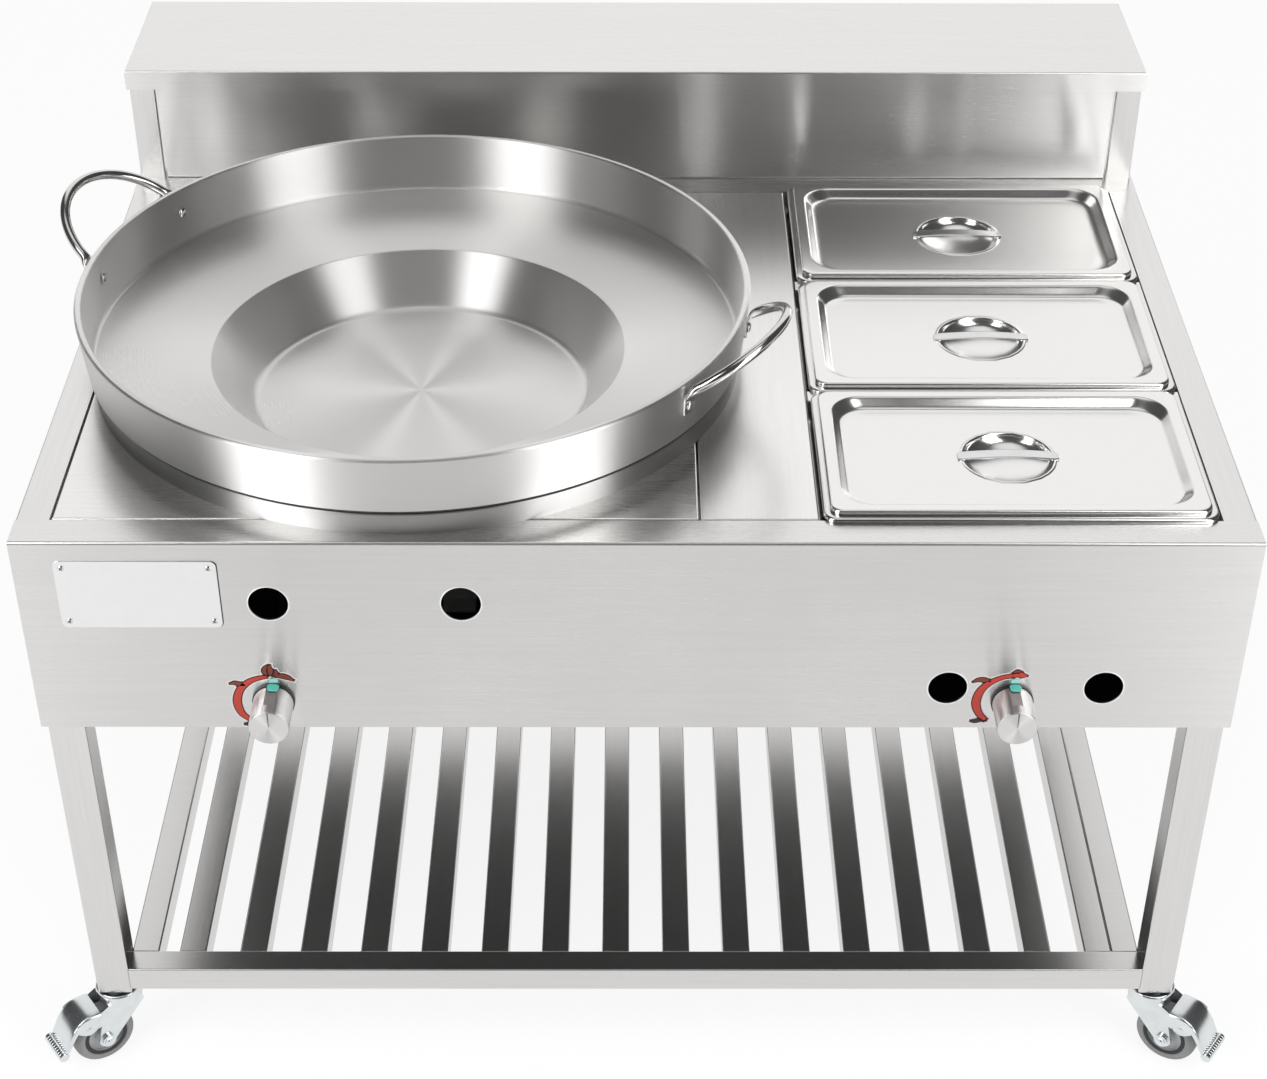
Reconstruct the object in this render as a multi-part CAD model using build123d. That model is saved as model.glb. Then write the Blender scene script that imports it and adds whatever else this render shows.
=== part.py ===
from build123d import *
import math
import os

# Propane taco cart stove: a stainless cart with a large comal over a ring burner,
# a water bath with three covered pans over a tube burner, and a slatted lower rack.
# Millimetres. X is to the right, Y is to the back, +Z is up.
# The origin is on the floor, in the middle of the overall width and depth.

# Worktop and body
table_width = 1016.0
table_height = 596.0
body_depth = 680.0
apron_height = 190.5
sheet = 1.5
bend_radius = 2.5
front_flange = 33.0
side_flange = 28.0
rear_flange = 53.0
ledge_width = 6.0
edge_depth = 12.0
seat_radius = 0.8
hem_width = 15.0
hem_end_gap = 4.0

# Loose top plates
plate_gap = 1.5
burner_opening_margin = 64.0
seam_margin = 23.1
side_plate_width = 97.8
bearer_width = 30.0
bearer_height = 20.0

# Legs and lower rack
leg_size = 31.75
leg_wall = 1.5
leg_setback = 4.3
corner_angle_arm = 40.0
corner_angle_height = 130.0
rack_tube = 25.4
rack_wall = 1.2
rack_height = 86.0
slat_count = 16
first_slat_gap = 18.9

# Backsplash and top shelf
backsplash_inset = 27.5
shelf_rise = 116.8
shelf_depth = 178.3
shelf_lip = 19.5
post_size = 25.4
post_wall = 1.2
post_inset = 3.0
panel_recess = 2.0
panel_gap = 1.5
panel_return = 14.0
gusset_sheet = 2.0
gusset_flange = 14.0
gusset_tip_gap = 5.0

# Comal, its stand ring and handles
comal_left_margin = 13.3
comal_front_margin = 4.2
comal_rear_margin = 79.8
comal_rim_height = 75.2
comal_rim_width = 6.5
comal_sheet = 1.5
comal_wall_foot_inset = 9.0
comal_wall_foot_height = 22.0
comal_skin_foot_inset = 5.6
comal_skin_foot_height = 23.5
comal_shelf_width = 103.0
well_edge_height = 7.1
well_slope_width = 35.0
well_depth = 45.6
ring_inset = 9.0
ring_flange = 8.0
seat_gap = 0.3
handle_azimuth = 157.6
handle_spread = 13.75
handle_reach = 66.6
handle_tilt = 35.5
handle_height = 64.7
handle_rod_radius = 4.0
foot_width = 14.0
foot_sheet = 2.6
foot_top = 70.0
foot_bottom = 44.0
rivet_height = 53.0
rivet_radius = 2.4
rivet_head_radius = 4.6
rivet_head_height = 2.2
rivet_inner_gap = 0.35
fit_gap = 0.05

# Pans, lids and water tank
pan_count = 3
pan_flange_overlap = 4.65
pan_rim_gap = 0.6
pan_left_gap = 3.3
pan_right_gap = 2.5
pan_depth = 65.0
pan_sheet = 0.8
pan_rim_end = 14.0
pan_rim_side = 16.0
pan_lip = 4.0
pan_corner = 12.0
pan_well_corner = 30.0
pan_taper = 9.0
pan_floor_radius = 10.0
lid_end_inset = 5.5
lid_side_inset = 5.35
lid_lip = 4.4
lid_rim = 10.0
lid_step = 11.0
lid_recess = 8.5
lid_corner = 11.0
lid_step_corner = 27.0
dish_radius = 38.0
dish_depth = 15.0
strap_width = 13.0
strap_sheet = 1.6
strap_rise = 2.2
strap_overlap = 2.5
tank_sheet = 1.0
tank_depth = 105.0
tank_gap = 0.3
tank_corner = 12.0
divider_width = 18.0

# Gas train and burners
knob_left_offset = -110.3
knob_right_offset = 3.0
knob_drop = 161.5
knob_radius = 17.0
knob_reach = 38.0
knob_groove_width = 9.0
knob_groove_depth = 1.6
knob_groove_length = 24.0
knob_mark_width = 1.0
knob_mark_depth = 0.5
knob_chamfer = 1.0
bezel_radius = 18.0
bezel_thickness = 3.0
bezel_gap = 0.4
stem_radius = 3.95
stem_clearance = 0.06
stem_hole_radius = 6.0
stem_depth = 20.0
valve_radius = 10.0
valve_front = 6.0
valve_length = 36.0
valve_nipple_radius = 6.0
orifice_radius = 4.5
orifice_length = 9.0
manifold_radius = 8.6
manifold_wall = 2.3
manifold_setback = 27.0
manifold_hole_gap = 4.5
manifold_right_offset = 85.0
manifold_left_inset = 68.0
manifold_bend = 30.0
manifold_rear_gap = 16.0
inlet_thread_radius = 7.94
inlet_thread_length = 16.0
inlet_hex = 22.0
inlet_hex_length = 12.0
inlet_bore_radius = 4.0
lighting_hole_radius = 16.5
left_hole_offsets = (-106.1, 52.2)
left_holes_drop = 60.5
right_hole_offsets = (-52.6, 79.2)
right_holes_drop = 147.6
burner_tube_radius = 13.4
burner_tube_wall = 2.6
burner_inlet_setback = 58.0
shutter_radius = 17.0
shutter_length = 22.0
shutter_clearance = 0.3
ring_burner_radius = 110.0
ring_burner_tube = 14.0
ring_burner_drop = 80.0
ring_burner_hub = 27.0
ring_burner_corner = 9.0
ring_burner_neck = 22.0
ring_burner_spokes = 4
spoke_radius = 8.0
ring_port_count = 16
port_radius = 2.0
port_depth = 5.0
feed_turn_setback = 190.0
feed_bend = 45.0
tube_burner_end_inset = 120.0
tube_burner_cross_setback = 120.0
tube_burner_bend = 35.0
tee_step = 0.6
arm_port_count = 8
arm_port_margin = 25.0
bracket_sheet = 3.0
bracket_width = 30.0
ring_bracket_spread = 36.0
ring_bracket_reach = 122.0
tube_bracket_front_setback = 170.0
tube_bracket_rear_inset = 180.0
tube_bracket_overhang = 24.0
tray_sheet = 1.0
tray_lip = 8.0
tray_gap = 6.0
tray_air_gap = 60.0

# Nameplate
nameplate_inset = 100.1
nameplate_drop = 51.0
nameplate_length = 132.3
nameplate_height = 66.0
nameplate_sheet = 1.0
nameplate_corner = 5.0
nameplate_screw_inset = 6.5
nameplate_screw_radius = 2.0
nameplate_screw_height = 1.0

# Casters
caster_height = 82.0
wheel_radius = 30.0
wheel_width = 22.0
tyre_inner_radius = 21.0
tyre_crown = 4.0
hub_boss_radius = 9.0
hub_boss_width = 24.0
axle_radius = 4.0
axle_clearance = 0.06
axle_head_radius = 6.5
axle_head_height = 3.0
caster_trail = 24.0
front_trail_azimuth = 215.0
rear_trail_azimuth = 150.0
fork_sheet = 2.5
fork_side_gap = 0.6
fork_top = 70.0
race_radius = 21.5
race_height = 8.6
kingpin_radius = 5.0
kingpin_clearance = 0.06
kingpin_head_radius = 9.0
kingpin_head_height = 3.0
stem_flange_radius = 15.0
stem_flange_height = 3.0
stem_plug_height = 22.0
stem_plug_gap = 0.1
swivel_gap = 0.3
pedal_sheet = 2.0
pedal_width = 36.4
pedal_ear_gap = 0.3
pedal_pivot_u = 40.0
pedal_pivot_z = 53.0
pedal_pin_radius = 2.5
pedal_pin_clearance = 0.06
pedal_bar_radius = 5.0
pedal_bar_u = 69.0
pedal_bar_z = 33.0
pedal_bar_ribs = 7

# Places worked out from the sizes above
half_width = table_width / 2
backsplash_setback = body_depth - backsplash_inset
overall_depth = knob_reach + backsplash_setback + shelf_depth
front_y = knob_reach - overall_depth / 2
worktop_z = table_height
bay_depth = body_depth - front_flange - rear_flange
bay_front = front_flange
bay_rear = front_flange + bay_depth
bay_half = half_width - side_flange
apron_bottom_z = worktop_z - apron_height
ledge_z = worktop_z - edge_depth
leg_x = half_width - leg_setback - leg_size / 2
leg_inner_x = leg_x - leg_size / 2
leg_front_setback = leg_setback + leg_size / 2
leg_rear_setback = body_depth - leg_front_setback
leg_top_z = ledge_z - sheet
comal_rim_radius = (body_depth - comal_front_margin - comal_rear_margin) / 2
comal_wall_foot_radius = comal_rim_radius - comal_wall_foot_inset
comal_skin_foot_radius = comal_rim_radius - comal_skin_foot_inset
well_radius = comal_wall_foot_radius - comal_shelf_width
well_floor_radius = well_radius - well_slope_width
ring_radius = comal_rim_radius - ring_inset
burner_opening_radius = ring_radius - burner_opening_margin
comal_x = comal_left_margin + comal_rim_radius - half_width
comal_y = front_y + comal_front_margin + comal_rim_radius
burner_plate_seam = comal_x + burner_opening_radius + seam_margin
pan_side_edge = burner_plate_seam + side_plate_width
pan_left_end = pan_side_edge + pan_left_gap
pan_right_end = bay_half - pan_right_gap
pan_length = pan_right_end - pan_left_end
pan_x = (pan_left_end + pan_right_end) / 2
pan_pitch = (bay_depth + 2 * pan_flange_overlap + pan_rim_gap) / pan_count
pan_width = pan_pitch - pan_rim_gap
lid_length = pan_length - 2 * lid_end_inset
lid_width = pan_width - 2 * lid_side_inset
pan_centre_setback = bay_front + bay_depth / 2
pan_setbacks = [pan_centre_setback + (i - 1) * pan_pitch for i in range(pan_count)]
pan_rim_z = worktop_z + seat_gap + pan_lip
lid_top_z = pan_rim_z + seat_gap + lid_lip
knob_z = worktop_z - knob_drop
knob_left_x = comal_x + knob_left_offset
knob_right_x = pan_x + knob_right_offset
left_holes_x = [comal_x + offset for offset in left_hole_offsets]
right_holes_x = [pan_x + offset for offset in right_hole_offsets]
manifold_drop = right_holes_drop - lighting_hole_radius - manifold_hole_gap - manifold_radius
manifold_z = worktop_z - manifold_drop
manifold_right_x = pan_x + manifold_right_offset
manifold_left_x = manifold_left_inset - half_width
nameplate_x = nameplate_inset - half_width
tube_burner_end_setback = body_depth - tube_burner_end_inset
tube_bracket_setbacks = (tube_bracket_front_setback, body_depth - tube_bracket_rear_inset)


def at_setback(setback):
    """Y of a point that lies this far behind the front of the apron."""
    return front_y + setback


def bent_sheet(points, radii, thickness, side=Side.RIGHT):
    """Face of a folded sheet: a filleted line and its copy one thickness to a side."""
    path = FilletPolyline(*points, radius=radii)
    return make_face(offset(path, amount=thickness, side=side).edges())


def along_x(face, x_from, x_to):
    """Solid of a Y, Z profile drawn out between two X positions."""
    blank = extrude(Plane.YZ * face, amount=(x_to - x_from) / 2, both=True)
    return Pos((x_from + x_to) / 2, 0, 0) * blank


def along_y(face, y_from, y_to):
    """Solid of an X, Z profile drawn out between two Y positions."""
    blank = extrude(Plane.XZ * face, amount=(y_to - y_from) / 2, both=True)
    return Pos(0, (y_from + y_to) / 2, 0) * blank


def block(x_range, y_range, z_range):
    """Rectangular solid between two corners."""
    size = [high - low for low, high in (x_range, y_range, z_range)]
    centre = [(high + low) / 2 for low, high in (x_range, y_range, z_range)]
    return Pos(*centre) * Box(*size)


def upright(radius, x, y, z_from, z_to):
    """Cylinder along Z."""
    return Pos(x, y, (z_from + z_to) / 2) * Cylinder(radius, z_to - z_from)


def bar_y(radius, x, z, y_from, y_to):
    """Cylinder along Y."""
    return Pos(x, (y_from + y_to) / 2, z) * Rot(90, 0, 0) * Cylinder(radius, y_to - y_from)


def square_tube(size, wall, length):
    """Square tube along Z with rounded outer edges, centred on its length."""
    ring = RectangleRounded(size, size, wall * 1.2) - Rectangle(size - 2 * wall, size - 2 * wall)
    return extrude(ring, amount=length / 2, both=True)


def folded_tray(x_range, y_range, top_z, depth, thickness):
    """Sheet with its four edges turned down."""
    outer = block(x_range, y_range, (top_z - depth, top_z))
    outer = fillet(outer.edges().group_by(Axis.Z)[-1], thickness * 1.2)
    inner_x = (x_range[0] + thickness, x_range[1] - thickness)
    inner_y = (y_range[0] + thickness, y_range[1] - thickness)
    return outer - block(inner_x, inner_y, (top_z - depth - 1, top_z - thickness))


def loft_pocket(top_size, top_corner, top_z, bottom_size, bottom_corner, bottom_z):
    """Rounded rectangular frustum between two heights."""
    low = Pos(0, 0, bottom_z) * RectangleRounded(*bottom_size, bottom_corner)
    high = Pos(0, 0, top_z) * RectangleRounded(*top_size, top_corner)
    return loft([low.face(), high.face()])


# Body panels

def edge_profile(flange, with_ledge, with_hem):
    """Folded profile in (setback, height under the worktop), face at setback 0."""
    points = [(0, -apron_height), (0, 0), (flange, 0)]
    radii = [bend_radius]
    if with_hem:
        points.insert(0, (hem_width, -apron_height))
        radii.insert(0, bend_radius)
    if with_ledge:
        points += [(flange, -edge_depth), (flange + ledge_width, -edge_depth)]
        radii += [bend_radius, seat_radius]
    return Pos(0, worktop_z) * bent_sheet(points, radii, sheet)


def end_apron(flange):
    """Front or rear panel: full-width face and flange, ledge in the bay, hem by the legs."""
    hem_half = leg_inner_x - hem_end_gap
    face = along_x(edge_profile(flange, False, False), -half_width, half_width)
    face += along_x(edge_profile(flange, True, False), -bay_half, bay_half)
    face += along_x(edge_profile(flange, True, True), -hem_half, hem_half)
    return face


def make_front_apron():
    """Front panel with the lighting holes and the valve stem holes."""
    apron = Pos(0, front_y, 0) * end_apron(front_flange)
    holes = [(x, left_holes_drop, lighting_hole_radius) for x in left_holes_x]
    holes += [(x, right_holes_drop, lighting_hole_radius) for x in right_holes_x]
    holes += [(x, knob_drop, stem_hole_radius) for x in (knob_left_x, knob_right_x)]
    for x, drop, radius in holes:
        apron -= bar_y(radius, x, worktop_z - drop, front_y - 5, front_y + 5)
    return apron


def make_rear_apron():
    """Rear panel, the front one turned round, with the gas inlet hole."""
    apron = Pos(0, front_y + body_depth, 0) * Rot(0, 0, 180) * end_apron(rear_flange)
    rear = front_y + body_depth
    hole = bar_y(manifold_radius + 1, manifold_left_x, manifold_z, rear - 5, rear + 5)
    return apron - hole


def make_side_apron(side):
    """Side panel: face between the end panels, flange and drop along the bay."""
    profile = edge_profile(side_flange, False, False)
    drop = edge_profile(side_flange, True, False)
    hem = edge_profile(side_flange, True, True)
    hem_start = leg_front_setback + leg_size / 2 + hem_end_gap
    bay = (at_setback(bay_front), at_setback(bay_rear))
    panel = along_y(profile, *bay)
    panel += along_y(drop, at_setback(bay_front + ledge_width), at_setback(bay_rear - ledge_width))
    short_drop = drop - Pos(2 * side_flange, ledge_z) * Rectangle(2 * side_flange, 2 * edge_depth)
    panel += along_y(short_drop, *bay)
    panel += along_y(hem, at_setback(hem_start), at_setback(bay_rear - ledge_width))
    for start, end in ((sheet, bay_front), (bay_rear, body_depth - sheet)):
        ends = (at_setback(start), at_setback(end))
        panel += block((0, sheet), ends, (apron_bottom_z, worktop_z - sheet))
    notch = bend_radius + fit_gap
    for start, end in ((0, notch), (body_depth - notch, body_depth)):
        panel -= block((-1, sheet + 1), (at_setback(start), at_setback(end)), (worktop_z - notch, worktop_z))
    panel = Pos(-half_width, 0, 0) * panel
    if side > 0:
        panel = mirror(panel, Plane.YZ)
    return panel


# Loose top plates and what carries them

def plate_y_range():
    """Y span of a loose plate, one gap inside the bay."""
    return (at_setback(bay_front + plate_gap), at_setback(bay_rear - plate_gap))


def make_burner_top_plate():
    """Plate over the ring burner, open under the comal."""
    x_range = (-bay_half + plate_gap, burner_plate_seam - plate_gap / 2)
    plate = folded_tray(x_range, plate_y_range(), worktop_z, edge_depth, sheet)
    return plate - upright(burner_opening_radius, comal_x, comal_y, worktop_z - 5, worktop_z + 5)


def make_side_top_plate():
    """Narrow plate between the burner plate and the pans."""
    x_range = (burner_plate_seam + plate_gap / 2, pan_side_edge)
    return folded_tray(x_range, plate_y_range(), worktop_z, edge_depth, sheet)


def bearer_x_ranges():
    """X spans of the two front-to-back bearers, under the seam and beside the pans."""
    seam = (burner_plate_seam - bearer_width / 2, burner_plate_seam + bearer_width / 2)
    tank_wall = tank_x_range()[0] - tank_gap
    return [seam, (tank_wall - bearer_width, tank_wall)]


def make_cross_bearers():
    """Channels that carry the plate edges between the front and rear ledges."""
    y_range = (at_setback(bay_front + ledge_width), at_setback(bay_rear - ledge_width))
    bearers = []
    for x_range in bearer_x_ranges():
        face = bent_sheet(
            [(x_range[0], -bearer_height), (x_range[0], 0), (x_range[1], 0), (x_range[1], -bearer_height)],
            [bend_radius, bend_radius],
            sheet,
        )
        bearers.append(along_y(Pos(0, ledge_z) * face, *y_range))
    return bearers


def tank_x_range():
    """X span of the outside of the tank's walls."""
    right = bay_half - ledge_width - tank_gap
    left = pan_x - pan_length / 2 + pan_rim_end - pan_sheet - tank_gap * 10
    return (left, right)


def make_water_tank():
    """Open tub with an outward flange that lies on the ledges."""
    x_low, x_high = tank_x_range()
    y_low = at_setback(bay_front + ledge_width + tank_gap)
    y_high = at_setback(bay_rear - ledge_width - tank_gap)
    bottom = worktop_z - tank_depth
    flange_z = ledge_z + tank_sheet
    centre = Pos((x_low + x_high) / 2, (y_low + y_high) / 2, 0)
    size = (x_high - x_low, y_high - y_low)
    inner = (size[0] - 2 * tank_sheet, size[1] - 2 * tank_sheet)
    shell = extrude(Pos(0, 0, bottom) * RectangleRounded(*size, tank_corner), flange_z - bottom)
    void = extrude(
        Pos(0, 0, bottom + tank_sheet) * RectangleRounded(*inner, tank_corner - tank_sheet),
        flange_z - bottom,
    )
    flange_x = (pan_side_edge + plate_gap, bay_half - plate_gap)
    flange = block(flange_x, plate_y_range(), (ledge_z, flange_z))
    return flange + centre * shell - centre * void


def make_pan_dividers():
    """Channels across the bay, under the rims of neighbouring pans."""
    x_range = (pan_side_edge + plate_gap, bay_half - plate_gap)
    bars = []
    for first, second in zip(pan_setbacks, pan_setbacks[1:]):
        middle = at_setback((first + second) / 2)
        height = edge_depth - tank_sheet
        low, high = middle - divider_width / 2, middle + divider_width / 2
        points = [(low, -height), (low, 0), (high, 0), (high, -height)]
        face = bent_sheet(points, [bend_radius, bend_radius], sheet)
        bars.append(along_x(Pos(0, worktop_z) * face, *x_range))
    return bars


# Legs and rack

def leg_places():
    """The four leg axes, as (x, y)."""
    rows = (at_setback(leg_front_setback), at_setback(leg_rear_setback))
    return [(x, y) for y in rows for x in (-leg_x, leg_x)]


def make_leg(x, y):
    """Square tube from the caster up to the ledges."""
    length = leg_top_z - caster_height
    return Pos(x, y, caster_height + length / 2) * square_tube(leg_size, leg_wall, length)


def make_corner_angles():
    """Angle irons that join the legs to the panels."""
    thickness = leg_setback - sheet
    top = leg_top_z - edge_depth
    angles = []
    for x, y in leg_places():
        out_x = math.copysign(1, x)
        out_y = math.copysign(1, y - at_setback(body_depth / 2))
        corner = (out_x * (half_width - sheet), at_setback(body_depth / 2) + out_y * (body_depth / 2 - sheet))
        arm = corner_angle_arm
        points = [(0, -arm), (0, 0), (-arm, 0)]
        face = bent_sheet(points, [seat_radius], thickness, Side.LEFT)
        angle = extrude(face, corner_angle_height)
        angle = Pos(*corner, top - corner_angle_height) * scale_signs(angle, out_x, out_y)
        angles.append(angle)
    return angles


def scale_signs(shape, out_x, out_y):
    """Mirror a shape drawn for the +X, +Y corner into another corner."""
    if out_x < 0:
        shape = mirror(shape, Plane.YZ)
    if out_y < 0:
        shape = mirror(shape, Plane.XZ)
    return shape


def rack_rail_setbacks():
    """Setbacks of the front and rear rack rails' centre lines."""
    front = leg_setback + rack_tube / 2
    return (front, body_depth - front)


def make_rack_cross_rail(setback):
    """Rail between two legs, along X."""
    tube = Rot(0, 90, 0) * square_tube(rack_tube, rack_wall, 2 * leg_inner_x)
    return Pos(0, at_setback(setback), rack_height + rack_tube / 2) * tube


def rack_tube_along_y(x):
    """Tube between the front and rear rails, along Y."""
    front, rear = rack_rail_setbacks()
    length = rear - front - rack_tube
    tube = Rot(90, 0, 0) * square_tube(rack_tube, rack_wall, length)
    return Pos(x, at_setback((front + rear) / 2), rack_height + rack_tube / 2) * tube


def make_rack_rails():
    """Front and rear rails between the legs, and the two side rails inside them."""
    x = leg_inner_x - rack_tube / 2
    cross = [make_rack_cross_rail(setback) for setback in rack_rail_setbacks()]
    return cross + [rack_tube_along_y(-x), rack_tube_along_y(x)]


def make_rack_slats():
    """Evenly pitched slats; the last one lies against the right side rail."""
    inner = leg_inner_x - rack_tube
    first = -inner + first_slat_gap + rack_tube / 2
    last = inner - rack_tube / 2
    pitch = (last - first) / (slat_count - 1)
    return [rack_tube_along_y(first + i * pitch) for i in range(slat_count)]


# Backsplash and shelf

def make_backsplash_posts():
    """Square posts on the rear flange, up to the underside of the shelf."""
    height = shelf_rise - sheet
    x = half_width - post_inset - post_size / 2
    y = at_setback(backsplash_setback + sheet + post_size / 2)
    post = square_tube(post_size, post_wall, height)
    return [Pos(side * x, y, worktop_z + height / 2) * post for side in (-1, 1)]


def make_backsplash_panel():
    """Panel between the posts with returns at its foot and top."""
    half = half_width - post_inset - post_size - panel_gap
    face_y = at_setback(backsplash_setback + sheet + panel_recess)
    top = shelf_rise - sheet
    points = [(panel_return, 0), (0, 0), (0, top), (panel_return, top)]
    face = bent_sheet(points, [bend_radius, bend_radius], sheet)
    return along_x(Pos(face_y, worktop_z) * face, -half, half)


def make_top_shelf():
    """Shelf with all four edges turned down."""
    y_range = (at_setback(backsplash_setback), at_setback(backsplash_setback + shelf_depth))
    top = worktop_z + shelf_rise
    return folded_tray((-half_width, half_width), y_range, top, shelf_lip, sheet)


def make_shelf_gussets():
    """Flanged triangular brackets behind the posts, under the shelf."""
    foot_y = at_setback(backsplash_setback + sheet + post_size)
    tip_y = at_setback(backsplash_setback + shelf_depth - sheet) - gusset_tip_gap
    top = worktop_z + shelf_rise - sheet
    tip_z = top - shelf_lip
    foot_z = worktop_z + edge_depth
    corners = [(foot_y, foot_z), (foot_y, top), (tip_y, top), (tip_y, tip_z)]
    plate_face = make_face(Polyline(*corners, close=True))
    slope = math.atan2(tip_z - foot_z, tip_y - foot_y)
    lift = gusset_sheet / math.cos(slope)
    strip = [(foot_y, foot_z), (foot_y, foot_z + lift), (tip_y, tip_z + lift), (tip_y, tip_z)]
    strip_face = make_face(Polyline(*strip, close=True))
    inner = half_width - post_inset - post_size / 2
    gussets = []
    for side in (-1, 1):
        web = along_x(plate_face, side * inner - gusset_sheet / 2, side * inner + gusset_sheet / 2)
        flange_inner = side * inner - gusset_flange / 2
        web += along_x(strip_face, flange_inner, flange_inner + gusset_flange)
        gussets.append(web)
    return gussets


# Nameplate, left bare

def nameplate_centre():
    """Centre of the nameplate on the face of the front apron."""
    return Pos(nameplate_x, front_y, worktop_z - nameplate_drop) * Rot(90, 0, 0)


def nameplate_screw_places():
    """The four screw centres, in the plate's own plane."""
    half_l = nameplate_length / 2 - nameplate_screw_inset
    half_h = nameplate_height / 2 - nameplate_screw_inset
    return [(x, y) for x in (-half_l, half_l) for y in (-half_h, half_h)]


def make_nameplate():
    """Thin plate with rounded corners and its screw holes."""
    outline = RectangleRounded(nameplate_length, nameplate_height, nameplate_corner)
    plate = extrude(outline, nameplate_sheet)
    for x, y in nameplate_screw_places():
        plate -= Pos(x, y, 0) * Cylinder(nameplate_screw_radius / 2 + fit_gap, 4 * nameplate_sheet)
    return nameplate_centre() * plate


def make_nameplate_screws():
    """Round-headed screws on the nameplate."""
    profile = Polyline(
        (0, 0),
        (nameplate_screw_radius / 2, 0),
        (nameplate_screw_radius / 2, nameplate_sheet),
        (nameplate_screw_radius, nameplate_sheet),
        (nameplate_screw_radius * 0.7, nameplate_sheet + nameplate_screw_height),
        (0, nameplate_sheet + nameplate_screw_height),
        close=True,
    )
    screw = revolve(Plane.XZ * make_face(profile), Axis.Z)
    return [nameplate_centre() * Pos(x, y, 0) * screw for x, y in nameplate_screw_places()]


# Comal

def on_comal(shape):
    """Place a shape drawn about the comal's axis with z = 0 on the worktop."""
    return Pos(comal_x, comal_y, worktop_z) * shape


def comal_wall_radius(height):
    """Radius of the outer skin at a height above the worktop."""
    share = (height - comal_skin_foot_height) / (comal_rim_height - comal_skin_foot_height)
    return comal_skin_foot_radius + share * (comal_rim_radius - comal_skin_foot_radius)


def wall_thickness_at(height):
    """Distance from the comal's outer skin to its inner wall at a height."""
    share = (height - comal_wall_foot_height) / (comal_rim_height - comal_wall_foot_height)
    inner_rim = comal_rim_radius - comal_rim_width
    inner = comal_wall_foot_radius + share * (inner_rim - comal_wall_foot_radius)
    return comal_wall_radius(height) - inner


def rivet_azimuths():
    """Azimuths of the four handle feet, in degrees."""
    middles = (handle_azimuth, handle_azimuth - 180)
    return [middle + side * handle_spread for middle in middles for side in (-1, 1)]


def rivet_axis():
    """Placement of a rivet at azimuth 0, its +Z square to the comal's outer skin."""
    lean = math.degrees(math.atan2(
        comal_rim_radius - comal_skin_foot_radius, comal_rim_height - comal_skin_foot_height
    ))
    return Pos(comal_wall_radius(rivet_height), 0, rivet_height) * Rot(0, 90 + lean, 0)


def make_comal():
    """Dish with a doubled wall, a sloping shelf and a round well."""
    floor_z = well_edge_height - well_depth
    points = [
        (comal_skin_foot_radius, comal_skin_foot_height),
        (comal_rim_radius, comal_rim_height),
        (comal_rim_radius - comal_rim_width, comal_rim_height),
        (comal_wall_foot_radius, comal_wall_foot_height),
        (well_radius, well_edge_height),
        (well_floor_radius, floor_z),
        (0, floor_z),
    ]
    face = bent_sheet(points, [1.6, 1.6, 5.0, 3.0, 9.0], comal_sheet, Side.LEFT)
    dish = revolve(Plane.XZ * face, Axis.Z)
    for azimuth in rivet_azimuths():
        dish -= Rot(0, 0, azimuth) * rivet_axis() * Cylinder(rivet_radius + fit_gap, 40)
    return on_comal(dish)


def make_comal_ring():
    """Ring that stands on the burner plate and carries the comal on its inner flange."""
    slope = (comal_wall_foot_height - well_edge_height) / (comal_wall_foot_radius - well_radius)
    seat_radius_inner = ring_radius - ring_flange
    under = comal_wall_foot_height - (comal_wall_foot_radius - seat_radius_inner) * slope
    top = under - comal_sheet * math.hypot(1, slope) - seat_gap
    points = [(ring_radius, 0), (ring_radius, top), (seat_radius_inner, top)]
    face = bent_sheet(points, [bend_radius], sheet, Side.LEFT)
    return on_comal(revolve(Plane.XZ * face, Axis.Z))


def make_comal_handle(azimuth):
    """Bent rod loop on two feet that lie against the comal's wall."""
    spread = math.radians(handle_spread)
    base = comal_rim_radius * math.cos(spread)
    half = comal_rim_radius * math.sin(spread)
    bow = ThreePointArc((0, -half), (handle_reach, 0), (0, half))
    start = Plane(origin=bow @ 0, z_dir=bow % 0)
    rod = sweep(start * Circle(handle_rod_radius), path=bow)
    handle = Pos(base, 0, handle_height) * Rot(0, -handle_tilt, 0) * rod
    half_foot = math.degrees(foot_width / 2 / comal_rim_radius)
    low, high = comal_wall_radius(foot_bottom) + fit_gap, comal_wall_radius(foot_top) + fit_gap
    foot_face = make_face(
        Polyline(
            (low, foot_bottom),
            (low + foot_sheet, foot_bottom),
            (high + foot_sheet, foot_top),
            (high, foot_top),
            close=True,
        )
    )
    for side in (-1, 1):
        foot = revolve(Plane.XZ * foot_face, Axis.Z, 2 * half_foot)
        handle += Rot(0, 0, side * handle_spread - half_foot) * foot
    wall = Cone(
        comal_wall_radius(0) + fit_gap,
        comal_wall_radius(handle_reach * 2) + fit_gap,
        handle_reach * 2,
        align=(Align.CENTER, Align.CENTER, Align.MIN),
    )
    handle -= wall
    for side in (-1, 1):
        hole = Cylinder(rivet_radius + fit_gap, 40)
        handle -= Rot(0, 0, side * handle_spread) * rivet_axis() * hole
    return on_comal(Rot(0, 0, azimuth) * handle)


def make_comal_rivets():
    """Rivets through the wall and the handle feet, with domed heads."""
    inside = -wall_thickness_at(rivet_height) - rivet_inner_gap
    outside = foot_sheet + 2 * fit_gap
    head, rise = rivet_head_radius, rivet_head_height
    outline = Polyline(
        (0, inside - rise), (head * 0.6, inside - rise * 0.8), (head, inside), (rivet_radius, inside),
        (rivet_radius, outside), (head, outside), (head * 0.6, outside + rise * 0.8), (0, outside + rise),
        close=True,
    )
    rivet = revolve(Plane.XZ * make_face(outline), Axis.Z)
    return [on_comal(Rot(0, 0, azimuth) * rivet_axis() * rivet) for azimuth in rivet_azimuths()]


# Pans and lids

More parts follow.
